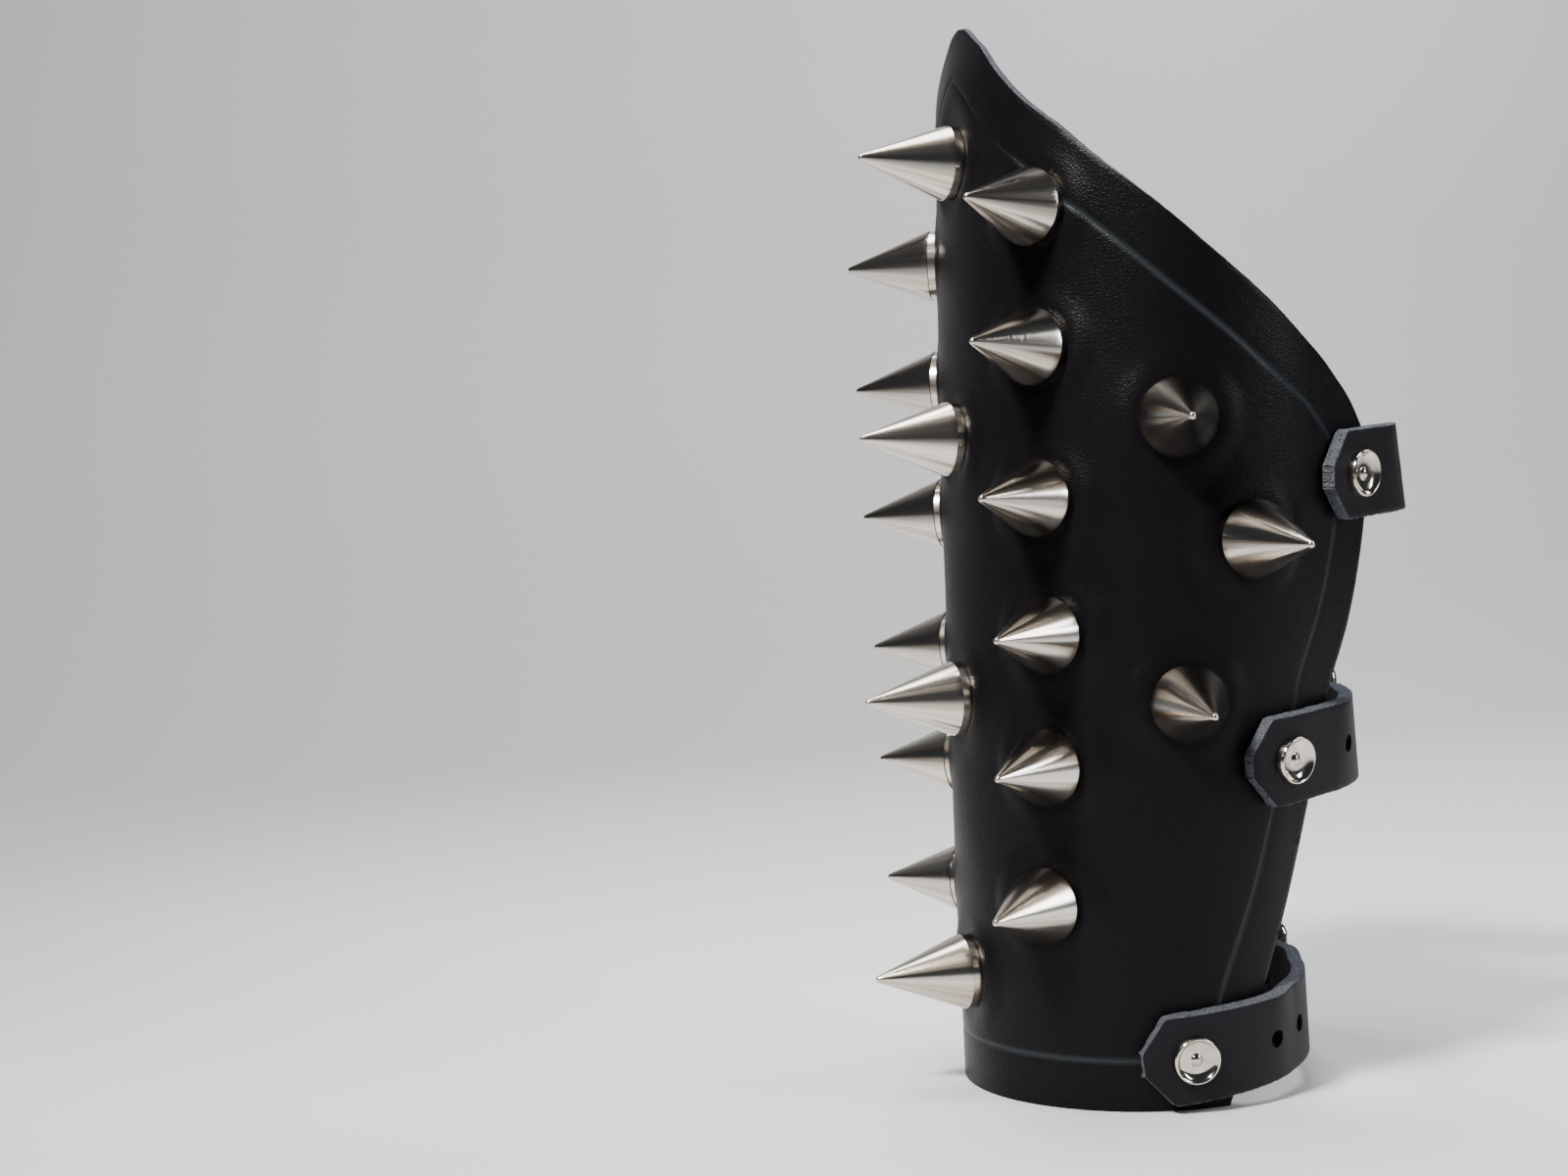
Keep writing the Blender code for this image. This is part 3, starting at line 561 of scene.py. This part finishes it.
def makePanel():
    share, acrossU, lowV, topV = lineKeys()
    # one grid step between neighbouring marks of the scored line
    keyCount = len(panel["lineMarks"])
    single = (1,) * (keyCount - 1)
    columnCounts = (panel["columns"][0], *single, panel["columns"][1])
    rowCounts = (panel["rows"][0], *single, panel["rows"][1], *single, panel["rows"][2])
    columns, rows = sum(columnCounts) + 1, sum(rowCounts) + 1
    u = np.tile(np.linspace(0.0, 1.0, columns), (rows, 1))
    v = np.tile(np.linspace(0.0, 1.0, rows)[:, None], (1, columns))
    for _ in range(6):
        keys = np.stack([np.interp(v, share, acrossU[:, k]) for k in range(keyCount)], -1)
        keys = np.concatenate((0.0 * v[..., None], keys, 1.0 + 0.0 * v[..., None]), -1)
        u = np.take_along_axis(spread(keys, columnCounts), np.arange(columns)[None, :, None], -1)[..., 0]
        keys = [np.interp(u, share, table[:, k]) for table in (lowV, topV) for k in range(keyCount)]
        keys = np.stack((0.0 * u, *keys, 1.0 + 0.0 * u), -1)
        v = np.take_along_axis(spread(keys, rowCounts), np.arange(rows)[:, None, None], -1)[..., 0]
    edge = np.minimum.reduce(edgeDistances(u, v))
    u = np.concatenate((-u[:, :0:-1], u), 1) * panel["rimRoom"][0]
    v = np.concatenate((v[:, :0:-1], v), 1) * panel["rimRoom"][1]
    edge = np.concatenate((edge[:, :0:-1], edge), 1)
    points = panelPoint(u, v)
    angle = u * backAngle(v * panel["cornerHeight"])
    z = v * topHeight(u * panel["cornerAngle"])
    normal = outerNormal(angle, z)

    # the leather lies flat under each spike, without ripple or bulge, and stands up a little round it
    lift = np.zeros(u.shape)
    free = np.ones(u.shape)
    for _, place, axis in spikePlaces():
        away = points - place
        up = np.sum(away * axis, -1)
        radius = np.linalg.norm(away - up[..., None] * axis, axis=-1)
        near = (np.abs(up) < spike["seatHeight"]) & (radius < spike["seatReach"])
        hold = 1.0 - smoothStep((radius - spike["seatFlat"]) / spike["seatFade"])
        press = spike["seatPress"] * (1.0 - smoothStep((radius - spike["pressFlat"]) / spike["pressFade"]))
        lip = spike["lipHeight"] * np.exp(-((radius - spike["lipRadius"]) / spike["lipWidth"]) ** 2)
        lift += np.where(near, -up * hold - press + lip, 0.0)
        free = np.where(near, np.minimum(free, 1.0 - hold), free)
    x = points[..., 0]
    (bend, bendRate), (acrossRate, slant) = panel["rippleBend"], panel["rippleAcross"]
    wave = np.sin(panel["rippleRise"] * z + bend * np.sin(bendRate * x))
    lift += panel["ripple"] * free * (wave * np.sin(acrossRate * x + slant * z))
    below = (1.0 - v) * topHeight(u * panel["cornerAngle"])
    thin = 1.0 - smoothStep(below / panel["tipFade"])
    thin = thin * (1.0 - smoothStep(np.abs(angle) / panel["tipAngle"]))
    wall = panel["wall"] + (panel["tipWall"] - panel["wall"]) * thin
    low, high, end = panel["bulgeHeights"]
    bulge = smoothStep((z - low) / (high - low)) * (1.0 - smoothStep((z - high) / (end - high)))
    lift += panel["tipBulge"] * free * bulge * (1.0 - smoothStep(np.abs(angle) / panel["bulgeAngle"]))
    middle = points - normal * (wall / 2)[..., None] + normal * lift[..., None]
    line = np.exp(-((edge - panel["lineInset"]) / panel["lineHalfWidth"]) ** 2)
    middle = middle - normal * (panel["lineDepth"] * line)[..., None]
    # near the pointed top the line is a dark groove without the pale scoring
    first, last = panel["paleBelow"]
    pale = line * (1.0 - smoothStep((z - first) / (last - first)))
    mesh = slabMesh("leatherPanel", middle, wall, panel["rim"], {"groove": pale}, panel["fuzz"], floorAt=0.0)
    return addPiece("leatherPanel", mesh, panelSkin, "leather_panel")


# cone spikes

def spikePlaces():
    places = []
    for column, rows in spikeColumns.items():
        for number, (angle, share) in enumerate(rows, start=1):
            angle, z = np.array(angle), np.array(share * panel["height"])
            places.append((f"spike_{column}_{number}", outerPoint(angle, z), outerNormal(angle, z)))
    return places


def spikeProfile():
    # from the screw head's middle inside the panel, out through the band and up the cone to a ball tip
    head, top = spike["headRadius"], spike["length"]
    inner = -panel["wall"] - 3 * gap
    low = inner - spike["headThickness"]
    seat = -spike["seatPress"] / 2
    base, band, ball = spike["baseRadius"], spike["band"], spike["tipRadius"]
    neck = base - spike["ledge"]
    slope = math.atan2(base, top - band)
    post, chamfer = spike["postRadius"], spike["chamfer"]
    rows = [(0.0, low)]
    rows += [(head - inward, low + up) for inward, up in spike["headEdge"]]
    rows += [(head, inner), (post, inner), (post, seat), (neck - chamfer, seat), (neck, seat + chamfer)]
    rows += [(neck, seat + (band - spike["bandTop"] - seat) * t) for t in (0.35, 0.7, 1.0)]
    rows += [(base - inward, band - down) for inward, down in spike["coneEdge"]]
    tangentRadius = ball * math.cos(slope)
    tangentHeight = top - ball + ball * math.sin(slope)
    for t in np.linspace(0.02, 1.0, 22):
        rows.append((base + (tangentRadius - base) * t, band + (tangentHeight - band) * t))
    for turn in np.linspace(slope, math.pi / 2, 9)[1:-1]:
        rows.append((ball * math.cos(turn), top - ball + ball * math.sin(turn)))
    rows.append((0.0, top))
    return rows


def makeSpikes():
    profile = spikeProfile()
    for name, place, axis in spikePlaces():
        mesh = turnedMesh(name, profile, spike["sides"], place, axis)
        addPiece(name.replace("spike_", "coneSpike_"), mesh, spikeMetal, name)


# straps, buckles, keepers and rivets

strap = {
    "width": 0.0190, "thickness": 0.0030, "tilt": 6.5, "arrowLength": 0.0055, "arrowFlat": 0.0040,
    # degrees by which a strap's line starts before its rivet
    "runUp": 35.0,
    "rivetSetback": 0.0103, "firstHole": 0.0190, "holeSpacing": 0.0120, "holeRadius": 0.0019,
    "riseStart": 0.0020, "riseEnd": 0.0010, "pastKeeper": 0.0020, "looseCurve": 0.35,
    "rim": ((0.00018, 0.96), (0.00036, 0.84), (0.00046, 0.50), (0.00050, 0.0)), "fuzz": 0.45,
    "step": 0.0008, "acrossPoints": 21, "mostHoles": 40, "holeSides": 28,
    "lean": 0.0013, "leanStart": 0.0010, "leanRise": 0.012, "leanFall": 0.016, "leanClear": 0.0050,
    # shares: height of the corner's height, rivetAngle of the back edge's angle, backDepth of the opening's
    # width, and keeper, looseEnd and standOff of the strap's width
    "rows": {
        "upper": {"height": 0.933, "rivetAngle": 0.934, "backDepth": 0.354, "prongHole": 4,
                  "keeper": 0.07, "looseEnd": 1.26, "standOff": 0.92, "tuck": 0.0002, "looseStart": 0.0006},
        "middle": {"height": 0.515, "rivetAngle": 0.869, "backDepth": 0.356, "prongHole": 4,
                   "keeper": 0.28, "looseEnd": 1.21, "standOff": 0.66, "tuck": 0.0010, "looseStart": 0.0020},
        "wrist": {"height": 0.084, "rivetAngle": 0.796, "backDepth": 0.464, "prongHole": 5,
                  "keeper": 0.30, "looseEnd": 1.05, "standOff": 0.53, "tuck": 0.0020, "looseStart": 0.0020},
    },
}
buckle = {
    "wire": 0.0015, "reach": 0.0165, "barClearance": 0.0006, "sideClearance": 0.0011, "corner": 0.0026,
    "prongRadius": 0.0011, "prongHoleOffset": 0.0046, "prongSlot": 0.0078, "prongOverhang": 0.0012,
    "hookStart": -150.0, "prongArch": ((0.12, 1.15), (0.25, 1.62), (0.40, 2.02), (0.60, 1.80), (1.00, 1.00)),
    "foldReturn": 0.0098, "foldMeet": 0.0068,
    "keeperWire": 0.0010, "keeperCorner": 0.0020, "prongSides": 16, "keeperSides": 14,
}
rivet = {
    "radius": 0.0050, "height": 0.0016, "postRadius": 0.0016, "headRadius": 0.0040, "headThickness": 0.0008,
    "sides": 56, "headEdge": ((0.0005, 0.0), (0.0, 0.0004)), "capChamfer": 0.0002,
    # rows of the cap from its rim to its middle: share of the radius, height over the seat in shares
    "cap": ((1.00, 0.00), (1.00, 0.35), (0.99, 0.62), (0.97, 0.85), (0.945, 0.97), (0.915, 1.00),
            (0.885, 0.97), (0.85, 0.86), (0.80, 0.68), (0.74, 0.52), (0.66, 0.40), (0.56, 0.32),
            (0.46, 0.27), (0.36, 0.24), (0.29, 0.24), (0.25, 0.28), (0.22, 0.40), (0.18, 0.53),
            (0.12, 0.62), (0.06, 0.66), (0.00, 0.67)),
}


def strapLine(values):
    # the strap's line sampled from the right flap round the back to the left flap, measured from the right
    # rivet, with its directions along, across and outward
    tilt = math.radians(strap["tilt"])
    height = values["height"] * panel["cornerHeight"]
    leave = max(float(backAngle(height + share * strap["width"])) for share in (-0.5, 0.0, 0.5))
    rivetAngle = values["rivetAngle"] * float(backAngle(height))
    start = rivetAngle - strap["runUp"]
    rivetDepth = outerPoint(np.array(rivetAngle), np.array(height))[1]

    def flatPlace(step, z):
        right = outerPoint(start + step * (leave - start), z)
        left = outerPoint(-leave + (step - 2.0) * (leave - start), z)
        end = outerPoint(leave + 0.0 * z, z)
        before = outerPoint(leave - 0.01 + 0.0 * z, z)
        corner = end + unit(end - before) * (values["backDepth"] * 2 * end[..., :1])
        mirror = np.array((-1.0, 1.0, 1.0))
        t = np.clip(step - 1.0, 0.0, 1.0)[..., None]
        curve = ((1 - t) ** 3 * end + 3 * t * (1 - t) ** 2 * corner + 3 * t * t * (1 - t) * corner * mirror
                 + t ** 3 * end * mirror)
        return np.where((step <= 1.0)[..., None], right, np.where((step >= 2.0)[..., None], left, curve))

    def place(step, across):
        z = height + across + 0.0 * step
        for _ in range(4):
            point = flatPlace(step, z)
            z = height + across * math.cos(tilt) + (point[..., 1] - rivetDepth) * math.tan(tilt)
        point[..., 1] -= across * math.sin(tilt) * np.sin(math.pi * np.clip(step - 1.0, 0.0, 1.0)) ** 2
        point[..., 2] = z
        return point

    step = np.linspace(0.0, 3.0, 1201)
    points = place(step, 0.0)
    along = unit(np.gradient(points, axis=0))
    across = place(step, strap["width"] / 4) - place(step, -strap["width"] / 4)
    across = unit(across - along * np.sum(across * along, -1, keepdims=True))
    length = np.concatenate(((0.0,), np.cumsum(np.linalg.norm(np.diff(points, axis=0), axis=1))))
    origin = np.interp(strap["runUp"] / (leave - start), step, length)
    leaveLength = np.interp(1.0, step, length) - origin
    line = {"leave": leaveLength, "points": points, "along": along, "across": across,
            "out": np.cross(along, across), "length": length - origin,
            "leftRivet": length[-1] - 2 * origin, **values}
    line["heel"] = strap["firstHole"] + strap["holeSpacing"] * values["prongHole"] + buckle["prongHoleOffset"]
    line["far"] = line["heel"] - buckle["reach"]
    line["keeperAt"] = line["heel"] + buckle["foldReturn"] + values["keeper"] * strap["width"]
    return line


def lineValue(line, key, length):
    return np.stack([np.interp(length, line["length"], line[key][:, k]) for k in range(3)], -1)


def strapPoint(line, length, offset=0.0, lift=0.0):
    length = np.asarray(length, float)
    offset = np.asarray(offset, float)[..., None]
    lift = np.asarray(lift, float)[..., None]
    return (lineValue(line, "points", length) + unit(lineValue(line, "across", length)) * offset
            + unit(lineValue(line, "out", length)) * lift)


def liftOf(line, length):
    # the long strap's inner face: on the panel, up over the short strap, and standing off past the keeper
    rise = strap["thickness"] + gap
    span = buckle["reach"] - strap["riseStart"] - strap["riseEnd"]
    lift = gap + rise * smoothStep((length - line["far"] - strap["riseStart"]) / span)
    start = line["keeperAt"] + line["looseStart"]
    share = np.maximum(length - start, 0.0) / (line["looseEnd"] * strap["width"])
    curve = (1.0 - strap["looseCurve"]) * share + strap["looseCurve"] * share ** 2
    return lift + line["standOff"] * strap["width"] * curve


def longPoint(line, length, offset, lift):
    # the long strap leans as it bends round the panel's back edge: its upper side in, its lower side out
    length = np.asarray(length, float)
    end = line["far"] - strap["leanClear"]
    begun = smoothStep((length - line["leave"] - strap["leanStart"]) / strap["leanRise"])
    ended = smoothStep((length - end + strap["leanFall"]) / strap["leanFall"])
    hold = begun * (1.0 - ended)
    lean = strap["lean"] * np.asarray(offset) / (strap["width"] / 2) + line["tuck"]
    shift = -lean * hold
    return strapPoint(line, length, offset, lift) + shift[..., None] * np.array((0.0, 1.0, 0.0))


def halfWidthAt(distance):
    share = np.clip(distance / strap["arrowLength"], 0.0, 1.0)
    return 0.5 * (strap["arrowFlat"] + (strap["width"] - strap["arrowFlat"]) * share) - strap["rim"][-1][0]


def diskMesh(name, radius, depth, place, axis):
    profile = ((0.0, -depth), (radius, -depth), (radius, depth), (0.0, depth))
    return markRaw(turnedMesh(name, profile, strap["holeSides"], place, axis))


def boxMesh(name, place, directions, sizes):
    corners = np.array([[x, y, z] for z in (-0.5, 0.5) for y in (-0.5, 0.5) for x in (-0.5, 0.5)]) * sizes
    mesh = bpy.data.meshes.new(name)
    faces = ((0, 2, 3, 1), (4, 5, 7, 6), (0, 1, 5, 4), (2, 6, 7, 3), (0, 4, 6, 2), (1, 3, 7, 5))
    mesh.from_pydata((place + corners @ np.array(directions)).tolist(), [], faces)
    return markRaw(mesh)


def markRaw(mesh):
    attribute = mesh.attributes.new("rim", "FLOAT", "POINT")
    attribute.data.foreach_set("value", np.ones(len(mesh.vertices), np.float32))
    return mesh


def directionsAt(line, length):
    return [unit(lineValue(line, key, np.array(length))) for key in ("along", "across", "out")]


def stationsBetween(first, last, extra):
    marks = np.arange(first, last, strap["step"])[1:]
    for value in extra:
        marks = marks[np.abs(marks - value) > 0.4 * strap["step"]]
    return np.sort(np.concatenate(((first, last), marks, extra)))


def makeBillet(key, line):
    reach = strap["rim"][-1][0]
    first = -strap["rivetSetback"] + reach
    last = line["keeperAt"] + strap["pastKeeper"] + line["looseEnd"] * strap["width"] - reach
    marks = stationsBetween(first, last, (first + strap["arrowLength"], last - strap["arrowLength"]))
    half = np.minimum(halfWidthAt(marks - first + reach), halfWidthAt(last + reach - marks))
    lift = liftOf(line, marks) + strap["thickness"] / 2
    across = np.linspace(1.0, -1.0, strap["acrossPoints"])
    length = marks[:, None] + 0.0 * across
    middle = longPoint(line, length, half[:, None] * across, lift[:, None] + 0.0 * across)
    mesh = slabMesh(f"strap_{key}", middle, strap["thickness"], strap["rim"], None, strap["fuzz"])
    cutters = []
    depth = 1.5 * strap["thickness"]
    for hole in range(strap["mostHoles"]):
        mark = strap["firstHole"] + hole * strap["holeSpacing"]
        if mark > last - strap["arrowLength"]:
            break
        place = longPoint(line, mark, 0.0, liftOf(line, mark) + strap["thickness"] / 2)
        directions = directionsAt(line, mark)
        if hole == line["prongHole"]:
            sizes = (buckle["prongSlot"], 2 * buckle["prongRadius"] + 4 * gap, 2 * depth)
            cutters.append(boxMesh("slot", place, directions, sizes))
        else:
            cutters.append(diskMesh("hole", strap["holeRadius"], depth, place, directions[2]))
    return addPiece(f"longStrap_{key}", cutWith(mesh, cutters), strapSkin, f"strap_{key}")


def makeFold(key, line):
    # the short strap: from its pointed end to the heel bar, half a turn round it and back under itself
    middle = gap + strap["thickness"] / 2
    bend = buckle["wire"] + buckle["barClearance"] + strap["thickness"] / 2
    reach = strap["rim"][-1][0]
    end = line["leftRivet"] + strap["rivetSetback"] - reach
    heel = line["heel"]
    marks = stationsBetween(heel, end, (end - strap["arrowLength"],))[::-1]
    turn = np.linspace(0.0, math.pi, 15)[1:]
    low = middle - 2 * bend
    close = middle - strap["thickness"] - gap
    meet = np.linspace(0.0, 1.0, 8)[1:]
    tail = np.linspace(buckle["foldMeet"], buckle["foldReturn"] - reach, 4)[1:]
    length = np.concatenate((marks, heel - bend * np.sin(turn), heel + buckle["foldMeet"] * meet,
                             heel + tail))
    height = np.concatenate((np.full(len(marks), middle), middle - bend + bend * np.cos(turn),
                             low + (close - low) * smoothStep(meet), np.full(len(tail), close)))
    half = halfWidthAt(end + reach - length)
    across = np.linspace(1.0, -1.0, strap["acrossPoints"])
    length = length[:, None] + 0.0 * across
    grid = strapPoint(line, length, half[:, None] * across, height[:, None] + 0.0 * across)[::-1]
    mesh = slabMesh(f"buckle_strap_{key}", grid, strap["thickness"], strap["rim"], None, strap["fuzz"])
    heelLift = gap - buckle["barClearance"] - buckle["wire"]
    sizes = (2 * (buckle["wire"] + 2 * buckle["prongRadius"] + 3 * gap), 2 * buckle["prongRadius"] + 6 * gap,
             5 * strap["thickness"])
    slotAt = heel - 2 * gap
    slot = boxMesh("slot", strapPoint(line, slotAt, 0.0, heelLift), directionsAt(line, slotAt), sizes)
    mesh = cutWith(mesh, [slot])
    return addPiece(f"shortStrap_{key}", mesh, strapSkin, f"buckle_strap_{key}")


def roundedLoop(centre, side, up, halfSide, halfUp, radius, steps=7):
    # points round a rectangle with round corners in the plane of two directions
    turn = np.linspace(0.0, math.pi / 2, steps)
    points = []
    for quarter, (a, b) in enumerate(((1, 1), (-1, 1), (-1, -1), (1, -1))):
        x = a * (halfSide - radius) + radius * np.cos(turn + quarter * math.pi / 2)
        y = b * (halfUp - radius) + radius * np.sin(turn + quarter * math.pi / 2)
        points.append(centre + x[:, None] * side + y[:, None] * up)
    return np.concatenate(points)


def makeBuckle(key, line):
    heelLift = gap - buckle["barClearance"] - buckle["wire"]
    heel = strapPoint(line, line["heel"], 0.0, heelLift)
    far = strapPoint(line, line["far"], 0.0, strap["thickness"] + 3 * gap + buckle["wire"])
    bar = directionsAt(line, line["heel"])[1]
    way = far - heel
    way = way - bar * np.dot(way, bar)
    reach = np.linalg.norm(way)
    side = way / reach
    out = np.cross(bar, side)
    halfBar = strap["width"] / 2 + buckle["sideClearance"] + buckle["wire"]
    loop = roundedLoop(heel + side * reach / 2, side, bar, reach / 2, halfBar, buckle["corner"])
    mesh = wireMesh(f"buckle_frame_{key}", loop, np.cross(side, bar), buckle["wire"], True)
    addPiece(f"buckleFrame_{key}", mesh, plainMetal, f"buckle_frame_{key}")

    bend = buckle["wire"] + gap + buckle["prongRadius"]
    turn = np.radians(np.linspace(buckle["hookStart"], 90.0, 19))
    x = np.concatenate((-bend * np.cos(turn), [share * reach for share, _ in buckle["prongArch"]],
                        (reach + buckle["prongOverhang"],)))
    y = np.concatenate((bend * np.sin(turn), [height * bend for _, height in buckle["prongArch"]], (bend,)))
    knots = np.concatenate(((0.0,), np.cumsum(np.hypot(np.diff(x), np.diff(y)))))
    fine = np.linspace(0.0, knots[-1], 60)
    x = smoothTable(tuple(zip(knots, x)), fine)
    y = smoothTable(tuple(zip(knots, y)), fine)
    mesh = wireMesh(f"buckle_prong_{key}", heel + x[:, None] * side + y[:, None] * out, np.cross(side, out),
                    buckle["prongRadius"], False, buckle["prongSides"])
    addPiece(f"buckleProng_{key}", mesh, plainMetal, f"buckle_prong_{key}")

    low = -buckle["keeperWire"]
    high = 2 * strap["thickness"] + 3 * gap + buckle["keeperWire"]
    _, across, out = directionsAt(line, line["keeperAt"])
    centre = strapPoint(line, line["keeperAt"], 0.0, (low + high) / 2)
    halfAcross = strap["width"] / 2 + buckle["sideClearance"] + buckle["keeperWire"]
    loop = roundedLoop(centre, out, across, (high - low) / 2, halfAcross, buckle["keeperCorner"])
    flat = np.cross(out, across)
    mesh = wireMesh(f"keeper_{key}", loop, flat, buckle["keeperWire"], True, buckle["keeperSides"])
    addPiece(f"keeperLoop_{key}", mesh, plainMetal, f"keeper_{key}")


def makeRivet(key, side, line, length):
    seat = strap["thickness"] + gap
    inner = -panel["wall"] - 2 * gap
    head = rivet["headRadius"]
    low = inner - rivet["headThickness"]
    post = rivet["postRadius"]
    rows = [(0.0, low)]
    rows += [(head - inward, low + up) for inward, up in rivet["headEdge"]]
    rows += [(head, inner), (post, inner), (post, seat), (rivet["radius"] - rivet["capChamfer"], seat)]
    rows += [(share * rivet["radius"], seat + height * rivet["height"]) for share, height in rivet["cap"]]
    mesh = turnedMesh(f"rivet_{key}_{side}", rows, rivet["sides"], strapPoint(line, length),
                      directionsAt(line, length)[2], 50.0)
    addPiece(f"rivetCap_{key}_{side}", mesh, plainMetal, f"rivet_{key}_{side}")


makePanel()
print("panel made")
makeSpikes()
print("spikes made")
for key, values in strap["rows"].items():
    line = strapLine(values)
    makeBillet(key, line)
    makeFold(key, line)
    makeBuckle(key, line)
    makeRivet(key, "right", line, 0.0)
    makeRivet(key, "left", line, line["leftRivet"])
    print("strap made:", key)

# floor, light and camera

stage = {
    "front": 1.8, "frontHalf": 0.5, "halfWidth": 2.4, "bendAt": -0.80, "bendRadius": 0.40, "topHeight": 1.8,
    "color": (0.74, 0.74, 0.75, 1.0), "worldColor": (0.80, 0.86, 1.0, 1.0), "worldStrength": 0.045,
    "camera": {"place": (0.43018, -0.15504, 0.11215), "turn": (89.587, 1.414, 75.226), "lens": 48.2263},
    # degrees of a light's spread, where it isn't the full 180
    "spread": {"key": 50.0},
    # place, point aimed at, width, height, power, colour
    "lights": {
        "key": ((0.42, -0.60, 0.85), (0.0, 0.02, 0.14), 0.20, 0.15, 2.1, (1.0, 0.96, 0.91)),
        "top": ((-0.20, -0.05, 1.15), (0.0, 0.04, 0.0), 0.55, 0.55, 12.0, (0.96, 0.98, 1.0)),
        "side": ((0.55, 0.80, 0.45), (0.0, 0.05, 0.10), 0.20, 0.45, 4.5, (0.93, 0.97, 1.0)),
        "sheet": ((-0.3, 0.9, 1.0), (-1.2, 0.3, 0.35), 0.60, 0.60, 10.0, (1.0, 0.99, 0.98)),
    },
}


def makeStage():
    # a pale sheet: flat under the object, then turned up behind it through a quarter circle
    turn = np.linspace(0.0, math.pi / 2, 13)
    start, bend = stage["bendAt"], stage["bendRadius"]
    flat = (stage["front"], stage["frontHalf"], 0.0)
    x = np.concatenate((flat, start - bend * np.sin(turn), (start - bend,)))
    z = np.concatenate(((0.0, 0.0, 0.0), bend - bend * np.cos(turn), (stage["topHeight"],)))
    y = np.linspace(-1.0, 1.0, 9) * stage["halfWidth"]
    mesh = gridMesh("floor", np.stack(np.broadcast_arrays(x[:, None], y[None], z[:, None]), -1)[::-1])
    floor = bpy.data.objects.new("floor", mesh)
    bpy.context.scene.collection.objects.link(floor)
    material = bpy.data.materials.new("paleFloor")
    tree, add = nodeKit(material)
    shader = add("ShaderNodeBsdfPrincipled", Base_Color=stage["color"], Roughness=0.6)
    output = add("ShaderNodeOutputMaterial")
    tree.links.new(shader.outputs[0], output.inputs["Surface"])
    mesh.materials.append(material)
    world = bpy.data.worlds.new("studio")
    world.use_nodes = True
    background = world.node_tree.nodes["Background"]
    background.inputs["Color"].default_value = stage["worldColor"]
    background.inputs["Strength"].default_value = stage["worldStrength"]
    bpy.context.scene.world = world
    for name, (place, aim, width, height, power, color) in stage["lights"].items():
        data = bpy.data.lights.new(name, "AREA")
        data.shape = "RECTANGLE"
        data.size, data.size_y = width, height
        data.energy = power
        data.spread = math.radians(stage["spread"].get(name, 180.0))
        data.color = color
        light = bpy.data.objects.new(name, data)
        bpy.context.scene.collection.objects.link(light)
        back = unit(np.array(place) - np.array(aim))
        side = unit(np.cross(upward + (0.0, 0.001, 0.0), back))
        matrix = np.eye(4)
        matrix[:3, :4] = np.stack((side, np.cross(back, side), back, place), 1)
        light.matrix_world = Matrix(matrix.tolist())


def makeCamera():
    values = stage["camera"]
    data = bpy.data.cameras.new("camera")
    data.sensor_fit = "HORIZONTAL"
    data.sensor_width = 36.0
    data.lens = values["lens"]
    data.clip_start = 0.02
    camera = bpy.data.objects.new("camera", data)
    bpy.context.scene.collection.objects.link(camera)
    camera.location = values["place"]
    camera.rotation_euler = [math.radians(angle) for angle in values["turn"]]
    bpy.context.scene.camera = camera


makeStage()
makeCamera()
print("stage and camera made")
